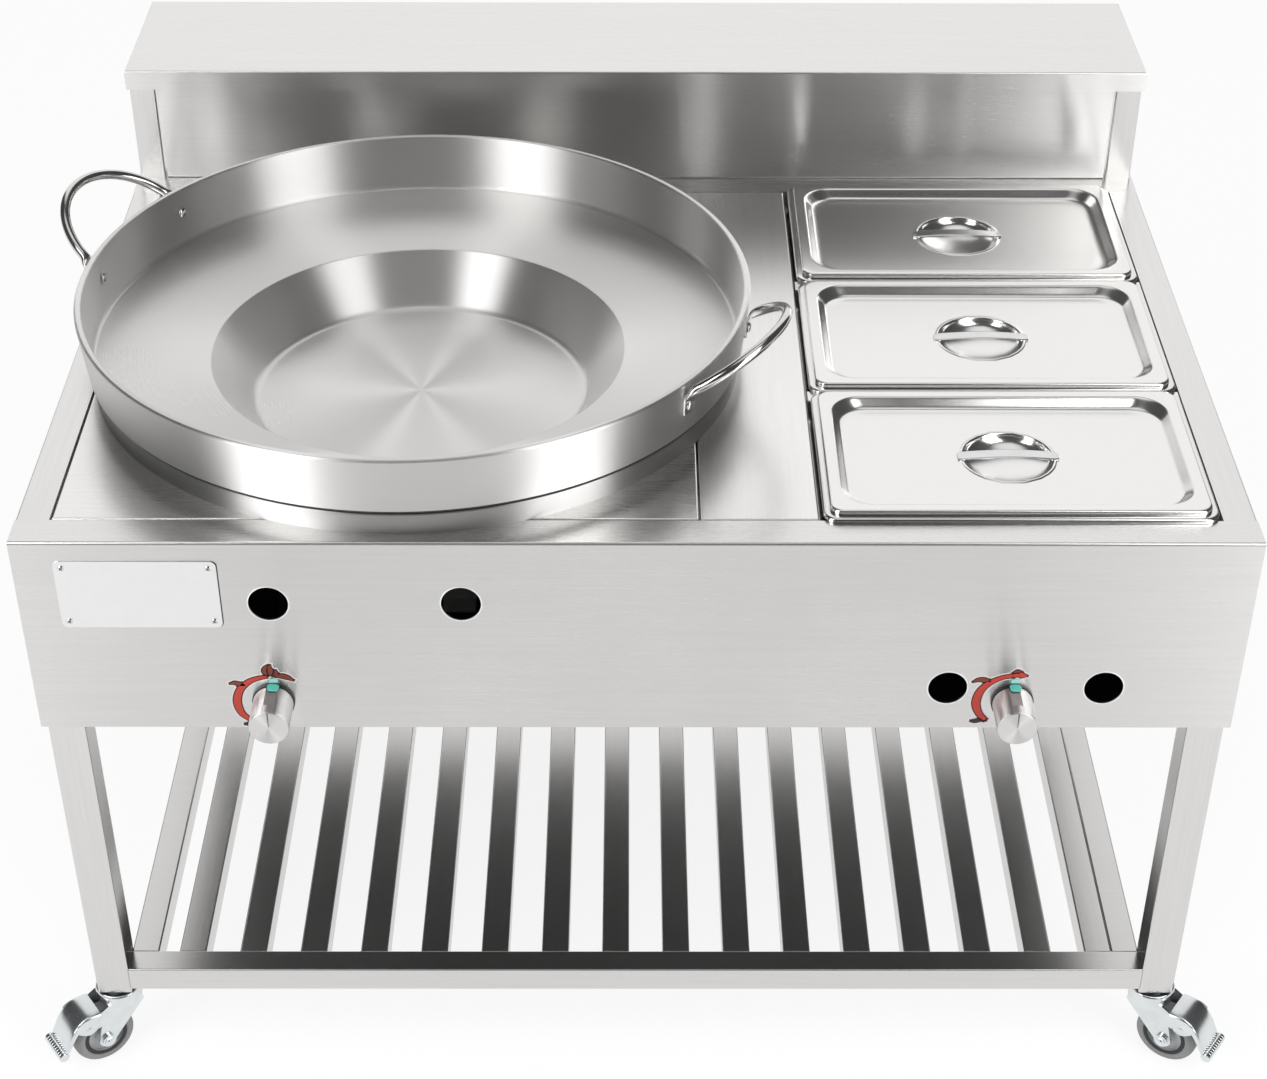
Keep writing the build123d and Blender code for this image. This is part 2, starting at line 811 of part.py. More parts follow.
def make_pan(setback):
    """Tapered pan with a flat rim and a turned-down lip."""
    opening = (pan_length - 2 * pan_rim_end, pan_width - 2 * pan_rim_side)
    floor = (opening[0] - 2 * pan_taper, opening[1] - 2 * pan_taper)
    floor_z = -pan_depth
    inner = loft_pocket(opening, pan_well_corner, 0, floor, pan_well_corner - pan_taper, floor_z + pan_sheet)
    inner = fillet(inner.edges().group_by(Axis.Z)[0], pan_floor_radius)
    grow = 2 * pan_sheet
    outer = loft_pocket(
        (opening[0] + grow, opening[1] + grow),
        pan_well_corner + pan_sheet,
        0,
        (floor[0] + grow, floor[1] + grow),
        pan_well_corner - pan_taper + pan_sheet,
        floor_z,
    )
    outer = fillet(outer.edges().group_by(Axis.Z)[0], pan_floor_radius + pan_sheet)
    rim = extrude(RectangleRounded(pan_length, pan_width, pan_corner), -pan_lip)
    rim = fillet(rim.edges().group_by(Axis.Z)[-1], 1.4)
    rim_inside = RectangleRounded(pan_length - grow, pan_width - grow, pan_corner - pan_sheet)
    rim -= extrude(Pos(0, 0, -pan_lip) * rim_inside, pan_lip - pan_sheet)
    pan = rim + outer - inner
    return Pos(pan_x, at_setback(setback), pan_rim_z) * pan


def make_lid(setback):
    """Lid with a turned-down lip, a stepped panel, a round dish and a grip strap."""
    top = (lid_length - 2 * lid_rim, lid_width - 2 * lid_rim)
    floor = (top[0] - 2 * lid_step, top[1] - 2 * lid_step)
    floor_corner = lid_step_corner - lid_step / 2
    pocket = loft_pocket(top, lid_step_corner, 0, floor, floor_corner, -lid_recess)
    shell = extrude(RectangleRounded(lid_length, lid_width, lid_corner), -lid_lip)
    shell = fillet(shell.edges().group_by(Axis.Z)[-1], 1.6)
    inside = RectangleRounded(
        lid_length - 2 * pan_sheet, lid_width - 2 * pan_sheet, lid_corner - pan_sheet
    )
    shell -= extrude(Pos(0, 0, -lid_lip) * inside, lid_lip - pan_sheet)
    bowl = lid_dish(dish_radius)
    shell += Pos(0, 0, -pan_sheet) * pocket
    shell += lid_dish(dish_radius + pan_sheet)
    lid = shell - pocket - Pos(0, 0, pan_sheet) * bowl
    lid += make_strap()
    return Pos(pan_x, at_setback(setback), lid_top_z) * lid


def lid_dish(radius):
    """Solid of the round dish below the lid's panel, from the panel's underside."""
    drop = lid_recess + pan_sheet
    profile = Polyline(
        (0, -drop - dish_depth),
        (radius * 0.45, -drop - dish_depth * 0.93),
        (radius * 0.8, -drop - dish_depth * 0.6),
        (radius, -drop),
        (0, -drop),
        close=True,
    )
    return revolve(Plane.XZ * make_face(profile), Axis.Z)


def make_strap():
    """Flat grip strap across the dish, bowed a little upward."""
    half = dish_radius + strap_overlap
    arc = ThreePointArc((-half, -lid_recess), (0, strap_rise - lid_recess), (half, -lid_recess))
    face = make_face(offset(arc, amount=strap_sheet, side=Side.LEFT).edges())
    strap = along_y(face, -strap_width / 2, strap_width / 2)
    for side in (-1, 1):
        foot = Box(2 * strap_overlap, strap_width, strap_sheet)
        strap += Pos(side * (half - strap_overlap / 2), 0, strap_sheet / 2 - lid_recess) * foot
    return strap


# Gas train

def make_knob(x):
    """Turned knob with a top groove and a mark on its face, and the valve's stem."""
    face_y = front_y - bezel_thickness - bezel_gap
    end_y = front_y - knob_reach
    knob = bar_y(knob_radius, x, knob_z, end_y, face_y)
    knob = chamfer(knob.edges().group_by(Axis.Y)[0], knob_chamfer)
    groove_z = knob_z + knob_radius - knob_groove_depth / 2
    groove_y = face_y - knob_groove_length / 2
    knob -= Pos(x, groove_y, groove_z) * Box(knob_groove_width, knob_groove_length, knob_groove_depth)
    mark_z = knob_z + knob_radius / 2
    mark = Box(knob_mark_width, 2 * knob_mark_depth, knob_radius - 2 * knob_chamfer)
    knob -= Pos(x, end_y, mark_z) * mark
    knob -= bar_y(stem_radius + fit_gap, x, knob_z, face_y - stem_depth, face_y)
    stem = bar_y(stem_radius, x, knob_z, face_y - stem_depth, at_setback(valve_front + valve_length / 2))
    return [knob, stem]


def make_knob_bezels():
    """Black rings between the knobs and the apron."""
    rings = []
    for x in (knob_left_x, knob_right_x):
        ring = bar_y(bezel_radius, x, knob_z, front_y - bezel_thickness, front_y)
        rings.append(ring - bar_y(stem_hole_radius, x, knob_z, front_y - 5, front_y + 1))
    return rings


def make_valve(x):
    """Brass valve: body with stem bore, nut, orifice and a nipple to the manifold."""
    front = at_setback(valve_front)
    rear = front + valve_length
    body = bar_y(valve_radius, x, knob_z, front, rear)
    hexagon = Rot(90, 0, 0) * extrude(RegularPolygon(valve_radius * 1.2, 6), 8, both=True)
    body += Pos(x, front + 14, knob_z) * hexagon
    body += bar_y(orifice_radius, x, knob_z, rear, rear + orifice_length)
    nipple_y = at_setback(manifold_setback)
    body += upright(valve_nipple_radius, x, nipple_y, knob_z, manifold_z)
    pipe = Rot(0, 90, 0) * Cylinder(manifold_radius + fit_gap, 60)
    body -= Pos(x, nipple_y, manifold_z) * pipe
    body -= bar_y(stem_radius + stem_clearance, x, knob_z, front - 1, front + valve_length / 2 + 1)
    return body


def manifold_path():
    """Centre line of the gas pipe: across behind the valves, then back to the rear panel."""
    rear = at_setback(body_depth) - manifold_rear_gap
    return FilletPolyline(
        (manifold_right_x, at_setback(manifold_setback), manifold_z),
        (manifold_left_x, at_setback(manifold_setback), manifold_z),
        (manifold_left_x, rear, manifold_z),
        radius=manifold_bend,
    )


def make_gas_manifold():
    """Bent gas pipe, capped at its right end."""
    path = manifold_path()
    ring = Circle(manifold_radius) - Circle(manifold_radius - manifold_wall)
    pipe = sweep(Plane(origin=path @ 0, z_dir=path % 0) * ring, path=path)
    cap = Pos(*(path @ 0)) * Rot(0, 90, 0) * Cylinder(manifold_radius * 1.25, 14)
    return pipe + cap


def make_gas_inlet():
    """Hose connector through the rear panel: hexagon and male thread body."""
    start = at_setback(body_depth) - manifold_rear_gap
    rear = at_setback(body_depth)
    hexagon = Rot(90, 0, 0) * extrude(RegularPolygon(inlet_hex / 2, 6, major_radius=False), -inlet_hex_length)
    fitting = bar_y(manifold_radius, manifold_left_x, manifold_z, start, rear)
    fitting += Pos(manifold_left_x, rear, manifold_z) * hexagon
    thread_end = rear + inlet_hex_length + inlet_thread_length
    fitting += bar_y(inlet_thread_radius, manifold_left_x, manifold_z, rear, thread_end)
    return fitting - bar_y(inlet_bore_radius, manifold_left_x, manifold_z, start - 1, thread_end + 1)


# Burners

def tube_along(points, radius, bend):
    """Solid of a round bar bent along points."""
    path = FilletPolyline(*points, radius=bend)
    return sweep(Plane(origin=path @ 0, z_dir=path % 0) * Circle(radius), path=path)


def make_ring_burner():
    """Cast ring burner head: ring, hub, spokes and neck, with a circle of ports."""
    z = worktop_z - ring_burner_drop
    section = Pos(ring_burner_radius, 0) * RectangleRounded(
        2 * ring_burner_tube, 2 * ring_burner_tube, ring_burner_corner
    )
    head = revolve(Plane.XZ * section, Axis.Z)
    head += Cylinder(ring_burner_hub, 2 * ring_burner_tube - 2)
    inner = ring_burner_hub / 2
    outer = ring_burner_radius - ring_burner_tube / 2
    for i in range(ring_burner_spokes):
        spoke = Rot(0, 90, 0) * Cylinder(spoke_radius, outer - inner)
        head += Rot(0, 0, 45 + i * 360 / ring_burner_spokes) * Pos((outer + inner) / 2, 0, 0) * spoke
    neck_height = ring_burner_neck + ring_burner_tube / 2
    neck_radius = burner_tube_radius + burner_tube_wall
    head += Pos(0, 0, -ring_burner_tube / 2 - neck_height / 2) * Cylinder(neck_radius, neck_height)
    for i in range(ring_port_count):
        port = Pos(ring_burner_radius, 0, ring_burner_tube) * Cylinder(port_radius, 2 * port_depth)
        head -= Rot(0, 0, (i + 0.5) * 360 / ring_port_count) * port
    head = Pos(comal_x, comal_y, z) * head
    neck_top = z - ring_burner_tube
    return head - upright(burner_tube_radius + fit_gap, comal_x, comal_y, neck_top - 30, neck_top - 4)


def make_ring_burner_feed():
    """Mixing tube from the left valve to the ring burner's neck."""
    neck_top = worktop_z - ring_burner_drop - ring_burner_tube
    points = [
        (knob_left_x, at_setback(burner_inlet_setback), knob_z),
        (knob_left_x, at_setback(feed_turn_setback), knob_z),
        (comal_x, comal_y, knob_z),
        (comal_x, comal_y, neck_top - 5),
    ]
    tube = tube_along(points, burner_tube_radius, [feed_bend, feed_bend * 0.8])
    return tube - tube_along(points, burner_tube_radius - burner_tube_wall, [feed_bend, feed_bend * 0.8])


def tube_burner_body(radius, end_gap):
    """Bent fork of the tube burner and its inlet, at one radius."""
    left, right = right_holes_x
    cross_y = at_setback(tube_burner_cross_setback)
    end_y = at_setback(tube_burner_end_setback) - end_gap
    corners = [(left, end_y, knob_z), (left, cross_y, knob_z), (right, cross_y, knob_z), (right, end_y, knob_z)]
    inlet = bar_y(radius - tee_step, knob_right_x, knob_z, at_setback(burner_inlet_setback), cross_y)
    return tube_along(corners, radius, tube_burner_bend) + inlet


def make_tube_burner():
    """Forked tube burner under the water tank, with ports along both arms."""
    bore = burner_tube_radius - burner_tube_wall
    burner = tube_burner_body(burner_tube_radius, 0) - tube_burner_body(bore, burner_tube_wall)
    top = knob_z + burner_tube_radius
    first = tube_burner_cross_setback + tube_burner_bend + arm_port_margin
    step = (tube_burner_end_setback - arm_port_margin - first) / (arm_port_count - 1)
    for x in right_holes_x:
        for i in range(arm_port_count):
            burner -= upright(port_radius, x, at_setback(first + i * step), top - port_depth, top + 2)
    return burner


def make_air_shutters():
    """Slotted sleeves on the burners' inlets that set the air."""
    shutters = []
    start = at_setback(burner_inlet_setback + 4)
    for x in (knob_left_x, knob_right_x):
        sleeve = bar_y(shutter_radius, x, knob_z, start, start + shutter_length)
        sleeve -= bar_y(burner_tube_radius + shutter_clearance, x, knob_z, start - 1, start + shutter_length + 1)
        window = Box(2 * shutter_radius + 2, shutter_length * 0.5, 8)
        sleeve -= Pos(x, start + shutter_length / 2, knob_z) * window
        shutters.append(Compound(sleeve.solids()))
    return [solid for shutter in shutters for solid in shutter.solids()]


def tray_top_z():
    """Top surface of the bottom tray, which lies on the hems."""
    return apron_bottom_z + sheet + tray_sheet


def hat_strap(foot, height, reach):
    """Face of a strap with two feet, two uprights and a level top, bracket_sheet thick."""
    points = [(-reach - foot, 0), (-reach, 0), (-reach, height), (reach, height), (reach, 0), (reach + foot, 0)]
    radii = [1.0, 4.0, 4.0, 1.0]
    return bent_sheet(points, radii, bracket_sheet, Side.RIGHT)


def make_ring_burner_brackets():
    """Straps that stand on the tray and carry the ring burner."""
    base = tray_top_z() + bracket_sheet
    height = worktop_z - ring_burner_drop - ring_burner_tube - seat_gap - base
    face = Pos(comal_y, base) * hat_strap(18, height, ring_bracket_reach)
    straps = []
    for side in (-1, 1):
        x = comal_x + side * ring_bracket_spread
        straps.append(along_x(face, x - bracket_width / 2, x + bracket_width / 2))
    return straps


def make_tube_burner_brackets():
    """Low straps that carry the tube burner's arms."""
    base = tray_top_z() + bracket_sheet
    height = knob_z - burner_tube_radius - seat_gap - base
    left, right = right_holes_x
    reach = (right - left) / 2 + tube_bracket_overhang
    face = Pos((left + right) / 2, base) * hat_strap(12, height, reach)
    straps = []
    for setback in tube_bracket_setbacks:
        y = at_setback(setback)
        straps.append(along_y(face, y - bracket_width / 2, y + bracket_width / 2))
    return straps


def make_bottom_tray():
    """Heat tray that closes the body below the burners, short of the rear for air."""
    half = leg_inner_x - tray_gap
    front = at_setback(leg_front_setback + leg_size / 2 + tray_gap)
    front_lip = at_setback(bend_radius + fit_gap)
    rear = at_setback(body_depth - tray_air_gap)
    z = tray_top_z()
    tray = block((-half, half), (front_lip, rear), (z - tray_sheet, z))
    side_half = half_width - bend_radius - fit_gap
    rear_leg = at_setback(leg_rear_setback - leg_size / 2 - tray_gap)
    tray += block((-side_half, side_half), (front, min(rear, rear_leg)), (z - tray_sheet, z))
    tray += block((-half, half), (rear - tray_sheet, rear), (z, z + tray_lip))
    return tray


# Casters

def make_caster_stem(x, y):
    """Leg plug, flange and kingpin of a caster, on its swivel axis."""
    plug_side = leg_size - 2 * leg_wall - 2 * stem_plug_gap
    plug = Pos(0, 0, caster_height + stem_plug_height / 2) * Box(plug_side, plug_side, stem_plug_height)
    flange = upright(stem_flange_radius, 0, 0, caster_height - stem_flange_height, caster_height)
    head_top = fork_top - fork_sheet - swivel_gap
    pin = upright(kingpin_radius, 0, 0, head_top - 1, caster_height)
    head = upright(kingpin_head_radius, 0, 0, head_top - kingpin_head_height, head_top)
    return Pos(x, y, 0) * (plug + flange + pin + head)


def fork_cheek(braked):
    """Side plate outline in (distance along the trail, height)."""
    boss = Pos(caster_trail, wheel_radius) * Circle(8.5)
    points = [(-16, fork_top), (-17, fork_top - 8), (caster_trail - 8.3, wheel_radius - 2)]
    points += [(caster_trail + 7.6, wheel_radius + 4)]
    if braked:
        points += [(caster_trail + 4, wheel_radius + 19), (pedal_pivot_u + 2, pedal_pivot_z - 6)]
        points += [(pedal_pivot_u + 6, pedal_pivot_z - 2), (pedal_pivot_u - 4, pedal_pivot_z + 8)]
    points += [(18, fork_top)]
    return make_face(Polyline(*points, close=True)) + boss


def make_caster_fork(braked):
    """Swivel fork with its race and wheel axle, trail along +X, axis at the origin."""
    cheek = fork_cheek(braked)
    inner = wheel_width / 2 + (hub_boss_width - wheel_width) / 2 + fork_side_gap
    fork = upright(race_radius, 0, 0, fork_top - fork_sheet, fork_top)
    for side in (-1, 1):
        low, high = sorted((side * inner, side * (inner + fork_sheet)))
        fork += along_y(cheek, low, high)
    race_top = caster_height - stem_flange_height - swivel_gap
    rim = Polyline(
        (0, fork_top),
        (race_radius, fork_top),
        (race_radius, race_top - 3),
        (race_radius - 2.5, race_top),
        (stem_flange_radius - 2, race_top),
        (stem_flange_radius - 4, race_top - 3),
        (0, race_top - 3),
        close=True,
    )
    fork += revolve(Plane.XZ * make_face(rim), Axis.Z)
    fork -= Cylinder(kingpin_radius + kingpin_clearance, 3 * caster_height)
    crown = upright(race_radius - 0.2, 0, 0, fork_top - fork_sheet, fork_top)
    bridge = block((0, 18), (-inner, inner), (fork_top - fork_sheet, fork_top))
    fork += bridge - crown
    bolt_end = inner + fork_sheet
    hole = bar_y(axle_radius + fit_gap, caster_trail, wheel_radius, -bolt_end - 1, bolt_end + 1)
    fork -= hole
    pin_hole = pedal_pin_radius + pedal_pin_clearance
    if braked:
        fork -= bar_y(pin_hole, pedal_pivot_u, pedal_pivot_z, -bolt_end - 1, bolt_end + 1)
    axle = bar_y(axle_radius, caster_trail, wheel_radius, -bolt_end, bolt_end)
    for side in (-1, 1):
        low, high = sorted((side * bolt_end, side * (bolt_end + axle_head_height)))
        axle += bar_y(axle_head_radius, caster_trail, wheel_radius, low, high)
    return [fork, axle]


def make_tyre():
    """Grey rubber tyre with a crowned tread, trail along +X."""
    half = wheel_width / 2
    outline = RectangleRounded(2 * wheel_radius, wheel_width, tyre_crown)
    section = outline & Pos(wheel_radius, 0) * Rectangle(2 * (wheel_radius - tyre_inner_radius), wheel_width)
    tyre = revolve(section, Axis.Y)
    return Pos(caster_trail, 0, wheel_radius) * tyre


def make_hub():
    """Wheel centre with a boss, a web recess on each side and the axle bore."""
    half = wheel_width / 2 - 1
    boss = hub_boss_width / 2
    outer = tyre_inner_radius - fit_gap
    bore = axle_radius + axle_clearance
    outline = Polyline(
        (bore, -boss), (hub_boss_radius, -boss), (hub_boss_radius, -half + 4), (outer - 3, -half + 4),
        (outer - 3, -half), (outer, -half), (outer, half), (outer - 3, half),
        (outer - 3, half - 4), (hub_boss_radius, half - 4), (hub_boss_radius, boss), (bore, boss),
        close=True,
    )
    return Pos(caster_trail, 0, wheel_radius) * revolve(make_face(outline), Axis.Y)


def make_pedal():
    """Brake pedal: bent cover over the wheel, ears with pivot studs, and a ribbed bar."""
    inner_half = wheel_width / 2 + (hub_boss_width - wheel_width) / 2 + fork_side_gap
    ear_inner = inner_half + fork_sheet + pedal_ear_gap
    ear_outer = ear_inner + pedal_sheet
    points = [
        (pedal_pivot_u - 13, pedal_pivot_z + 15),
        (pedal_pivot_u + 7, pedal_pivot_z + 14),
        (pedal_bar_u - 6, pedal_pivot_z - 3),
        (pedal_bar_u, pedal_bar_z),
    ]
    cover = bent_sheet(points, [4.0, 6.0], pedal_sheet)
    pedal = along_y(cover, -ear_outer, ear_outer)
    ear = make_face(
        Polyline(
            (pedal_pivot_u - 13, pedal_pivot_z + 14.2),
            (pedal_pivot_u - 5, pedal_pivot_z - 5),
            (pedal_pivot_u + 5, pedal_pivot_z - 5),
            (pedal_pivot_u + 14, pedal_pivot_z + 3),
            (pedal_pivot_u + 7, pedal_pivot_z + 13.2),
            close=True,
        )
    )
    for side in (-1, 1):
        low, high = sorted((side * ear_inner, side * ear_outer))
        pedal += along_y(ear, low, high)
    for side in (-1, 1):
        low, high = sorted((side * inner_half, side * ear_outer))
        pedal += bar_y(pedal_pin_radius, pedal_pivot_u, pedal_pivot_z, low, high)
    bar = bar_y(pedal_bar_radius, pedal_bar_u, pedal_bar_z, -ear_outer, ear_outer)
    step = 2 * ear_outer / pedal_bar_ribs
    for i in range(pedal_bar_ribs - 1):
        y = -ear_outer + (i + 1) * step
        groove = bar_y(pedal_bar_radius + 1, pedal_bar_u, pedal_bar_z, y - 0.8, y + 0.8)
        groove -= bar_y(pedal_bar_radius - 0.8, pedal_bar_u, pedal_bar_z, y - 1, y + 1)
        bar -= groove
    return pedal + bar


def caster_turn(x, y):
    """Placement of a caster drawn with its trail along +X."""
    front = y < at_setback(body_depth / 2)
    azimuth = front_trail_azimuth if front else rear_trail_azimuth
    if x > 0:
        azimuth = 180 - azimuth
    return Pos(x, y, 0) * Rot(0, 0, azimuth)


def write(name, shape):
    """Write one node; a list is a group of separate solids."""
    if isinstance(shape, list):
        shape = Compound([solid for item in shape for solid in item.solids()])
    export_step(shape, os.path.join("parts", name + ".step"))


def main():
    """Build every node and write it."""
    os.makedirs("parts", exist_ok=True)
    write("front_apron", make_front_apron())
    write("rear_apron", make_rear_apron())
    write("left_apron", make_side_apron(-1))
    write("right_apron", make_side_apron(1))
    write("burner_top_plate", make_burner_top_plate())
    write("side_top_plate", make_side_top_plate())
    write("cross_bearers", make_cross_bearers())
    write("pan_dividers", make_pan_dividers())
    write("water_tank", make_water_tank())
    legs = [make_leg(x, y) for x, y in leg_places()]
    write("front_legs", legs[:2])
    write("rear_legs", legs[2:])
    write("corner_angles", make_corner_angles())
    write("rack_rails", make_rack_rails())
    write("rack_slats", make_rack_slats())
    write("backsplash_posts", make_backsplash_posts())
    write("backsplash_panel", make_backsplash_panel())
    write("top_shelf", make_top_shelf())
    write("shelf_gussets", make_shelf_gussets())
    write("nameplate", make_nameplate())
    write("nameplate_screws", make_nameplate_screws())
    write("comal_ring", make_comal_ring())
    write("comal", make_comal())
    write("comal_handle_left", make_comal_handle(handle_azimuth))
    write("comal_handle_right", make_comal_handle(handle_azimuth - 180))
    write("comal_rivets", make_comal_rivets())
    for name, setback in zip(("front", "middle", "rear"), pan_setbacks):
        write("pan_" + name, make_pan(setback))
        write("lid_" + name, make_lid(setback))
    write("knob_left", make_knob(knob_left_x))
    write("knob_right", make_knob(knob_right_x))
    write("knob_bezels", make_knob_bezels())
    write("valves", [make_valve(knob_left_x), make_valve(knob_right_x)])
    write("gas_manifold", make_gas_manifold())
    write("gas_inlet", make_gas_inlet())
    write("ring_burner", make_ring_burner())
    write("ring_burner_feed", make_ring_burner_feed())
    write("ring_burner_brackets", make_ring_burner_brackets())
    write("tube_burner", make_tube_burner())
    write("tube_burner_brackets", make_tube_burner_brackets())
    write("air_shutters", make_air_shutters())
    write("bottom_tray", make_bottom_tray())
    write("caster_stems", [make_caster_stem(x, y) for x, y in leg_places()])
    corners = ("front_left", "front_right", "rear_left", "rear_right")
    for corner, (x, y) in zip(corners, leg_places()):
        braked = corner.startswith("front")
        turn = caster_turn(x, y)
        write("fork_" + corner, [turn * piece for piece in make_caster_fork(braked)])
        write("tyre_" + corner, turn * make_tyre())
        write("hub_" + corner, turn * make_hub())
        if braked:
            write("pedal_" + corner, turn * make_pedal())


main()
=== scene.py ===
import logging
import math
from dataclasses import dataclass, field
from enum import Enum

import bmesh
import bpy
from mathutils import Matrix, Vector


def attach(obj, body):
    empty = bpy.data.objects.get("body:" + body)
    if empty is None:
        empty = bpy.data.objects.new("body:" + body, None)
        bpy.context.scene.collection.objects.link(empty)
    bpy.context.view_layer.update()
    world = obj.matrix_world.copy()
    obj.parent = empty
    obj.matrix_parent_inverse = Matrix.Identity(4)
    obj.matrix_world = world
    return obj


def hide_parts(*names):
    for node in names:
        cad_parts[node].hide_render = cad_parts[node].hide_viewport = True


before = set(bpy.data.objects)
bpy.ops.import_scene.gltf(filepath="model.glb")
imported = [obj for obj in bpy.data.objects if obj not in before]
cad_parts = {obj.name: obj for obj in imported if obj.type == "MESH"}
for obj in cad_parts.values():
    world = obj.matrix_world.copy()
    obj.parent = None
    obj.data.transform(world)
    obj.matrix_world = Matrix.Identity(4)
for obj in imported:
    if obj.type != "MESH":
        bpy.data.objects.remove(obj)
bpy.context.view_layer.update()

log = logging.getLogger("taco_cart")

MM = 0.001
FRONT_Y = -396.4
WORKTOP_Z = 596.0
COMAL_CENTRE = (-196.7, FRONT_Y + 302.2)
PAN_X = 315.0
PAN_SETBACKS = (("front", 128.7), ("middle", 330.0), ("rear", 531.3))
KNOB_PLACES = (("left", -307.0, 434.5), ("right", 318.0, 434.5))
KNOB_RADIUS = 17.0
NAMEPLATE_CENTRE = (-407.9, 545.0)
NAMEPLATE_SHEET = 1.0
TO_FRONT = Matrix.Rotation(math.pi / 2, 4, "X")  # turns +Z out of the front panel


class Grain(Enum):
    """Direction of a brushed grain, as the stretch of its noise along X, Y and Z."""

    ALONG_X = (0.02, 1.0, 1.0)
    ALONG_Y = (1.0, 0.02, 1.0)
    ALONG_Z = (1.0, 1.0, 0.02)
    ROUND = (1.0, 1.0, 1.0)


class Signal:
    """A number socket in a shader, with arithmetic that adds Math nodes."""

    def __init__(self, graph: "Graph", socket: bpy.types.NodeSocket) -> None:
        """Keep the graph and the socket that the number comes from."""
        self.graph = graph
        self.socket = socket

    def _math(self, operation: str, first: "Signal | float", second: "Signal | float") -> "Signal":
        """Add a Math node.

        Args:
            operation: Blender's name of the operation.
            first: left operand.
            second: right operand.

        Returns:
            The node's result.
        """
        node = self.graph.node("ShaderNodeMath", {"operation": operation}, {0: first, 1: second})
        return Signal(self.graph, node.outputs[0])

    def __add__(self, other: "Signal | float") -> "Signal":
        """Sum."""
        return self._math("ADD", self, other)

    def __radd__(self, other: float) -> "Signal":
        """Sum with a number on the left."""
        return self._math("ADD", other, self)

    def __sub__(self, other: "Signal | float") -> "Signal":
        """Difference."""
        return self._math("SUBTRACT", self, other)

    def __mul__(self, other: "Signal | float") -> "Signal":
        """Product."""
        return self._math("MULTIPLY", self, other)

    def __pow__(self, other: "Signal | float") -> "Signal":
        """Power."""
        return self._math("POWER", self, other)

    def step_between(self, low: float, high: float) -> "Signal":
        """Smooth step.

        Args:
            low: value at which the result is 0.
            high: value at which the result is 1.

        Returns:
            A number from 0 to 1.
        """
        node = self.graph.node(
            "ShaderNodeMapRange",
            {"interpolation_type": "SMOOTHSTEP"},
            {"Value": self, "From Min": low, "From Max": high},
        )
        return Signal(self.graph, node.outputs[0])


class Graph:
    """One material's or world's node tree."""

    def __init__(self, owner: bpy.types.Material | bpy.types.World) -> None:
        """Empty the owner's tree and keep it."""
        owner.use_nodes = True
        self.tree = owner.node_tree
        self.tree.nodes.clear()

    def node(
        self,
        kind: str,
        settings: dict[str, object] | None = None,
        inputs: dict[str | int, object] | None = None,
    ) -> bpy.types.Node:
        """Add a node, set it, then fill its sockets.

        Args:
            kind: Blender's type name of the node.
            settings: node properties.
            inputs: socket name or number to a value, a socket or a Signal.

        Returns:
            The node.
        """
        made = self.tree.nodes.new(kind)
        for key, setting in (settings or {}).items():
            setattr(made, key, setting)
        for key, value in (inputs or {}).items():
            self._fill(made.inputs[key], value)
        return made

    def _fill(self, socket: bpy.types.NodeSocket, value: object) -> None:
        """Link a socket or a Signal to an input, or set its value."""
        if isinstance(value, Signal):
            value = value.socket
        if isinstance(value, bpy.types.NodeSocket):
            self.tree.links.new(value, socket)
        else:
            socket.default_value = value

    def place(self) -> bpy.types.NodeSocket:
        """Object coordinates, in metres in the row frame."""
        return self.node("ShaderNodeTexCoord").outputs["Object"]

    def axis(self, vector: bpy.types.NodeSocket, index: int) -> Signal:
        """One component of a vector."""
        return Signal(self, self.node("ShaderNodeSeparateXYZ", inputs={0: vector}).outputs[index])

    def scaled(self, vector: bpy.types.NodeSocket, scale: tuple[float, float, float]) -> bpy.types.NodeSocket:
        """A vector times a fixed one."""
        node = self.node("ShaderNodeVectorMath", {"operation": "MULTIPLY"}, {0: vector, 1: scale})
        return node.outputs[0]

    def noise(
        self,
        vector: bpy.types.NodeSocket,
        scale: float,
        detail: float = 2.0,
        roughness: float = 0.5,
    ) -> Signal:
        """Noise about 0.5.

        Args:
            vector: where it is read.
            scale: cells per metre.
            detail: octaves.
            roughness: weight of the finer octaves.

        Returns:
            The noise.
        """
        node = self.node(
            "ShaderNodeTexNoise",
            {"noise_dimensions": "3D"},
            {"Vector": vector, "Scale": scale, "Detail": detail, "Roughness": roughness},
        )
        return Signal(self, node.outputs["Fac"])

    def mix(self, factor: Signal | float, first: object, second: object) -> bpy.types.NodeSocket:
        """Blend two colours.

        Args:
            factor: share of the second.
            first: colour or socket.
            second: colour or socket.

        Returns:
            The colour.
        """
        node = self.node("ShaderNodeMix", {"data_type": "RGBA"})
        for index, value in ((0, factor), (6, first), (7, second)):
            self._fill(node.inputs[index], (*value, 1.0) if isinstance(value, tuple) else value)
        return node.outputs[2]

    def bump(self, height: Signal, distance: float, strength: float) -> bpy.types.NodeSocket:
        """Bumped normal.

        Args:
            height: relief from 0 to 1.
            distance: its full height in metres.
            strength: share of it that shows.

        Returns:
            The normal.
        """
        inputs = {"Strength": strength, "Distance": distance, "Height": height}
        return self.node("ShaderNodeBump", inputs=inputs).outputs[0]

    def background_share(self, glossy: float) -> Signal:
        """1 for camera and transmission rays, and less for glossy ones.

        Args:
            glossy: the number for glossy rays.

        Returns:
            The number.
        """
        rays = self.node("ShaderNodeLightPath").outputs
        direct = Signal(self, rays["Is Camera Ray"]) + Signal(self, rays["Is Transmission Ray"])
        return direct + Signal(self, rays["Is Glossy Ray"]) * glossy

    def surface(self, inputs: dict[str, object]) -> None:
        """Finish the tree with a Principled shader."""
        shader = self.node("ShaderNodeBsdfPrincipled", inputs=inputs)
        self.node("ShaderNodeOutputMaterial", inputs={"Surface": shader.outputs[0]})


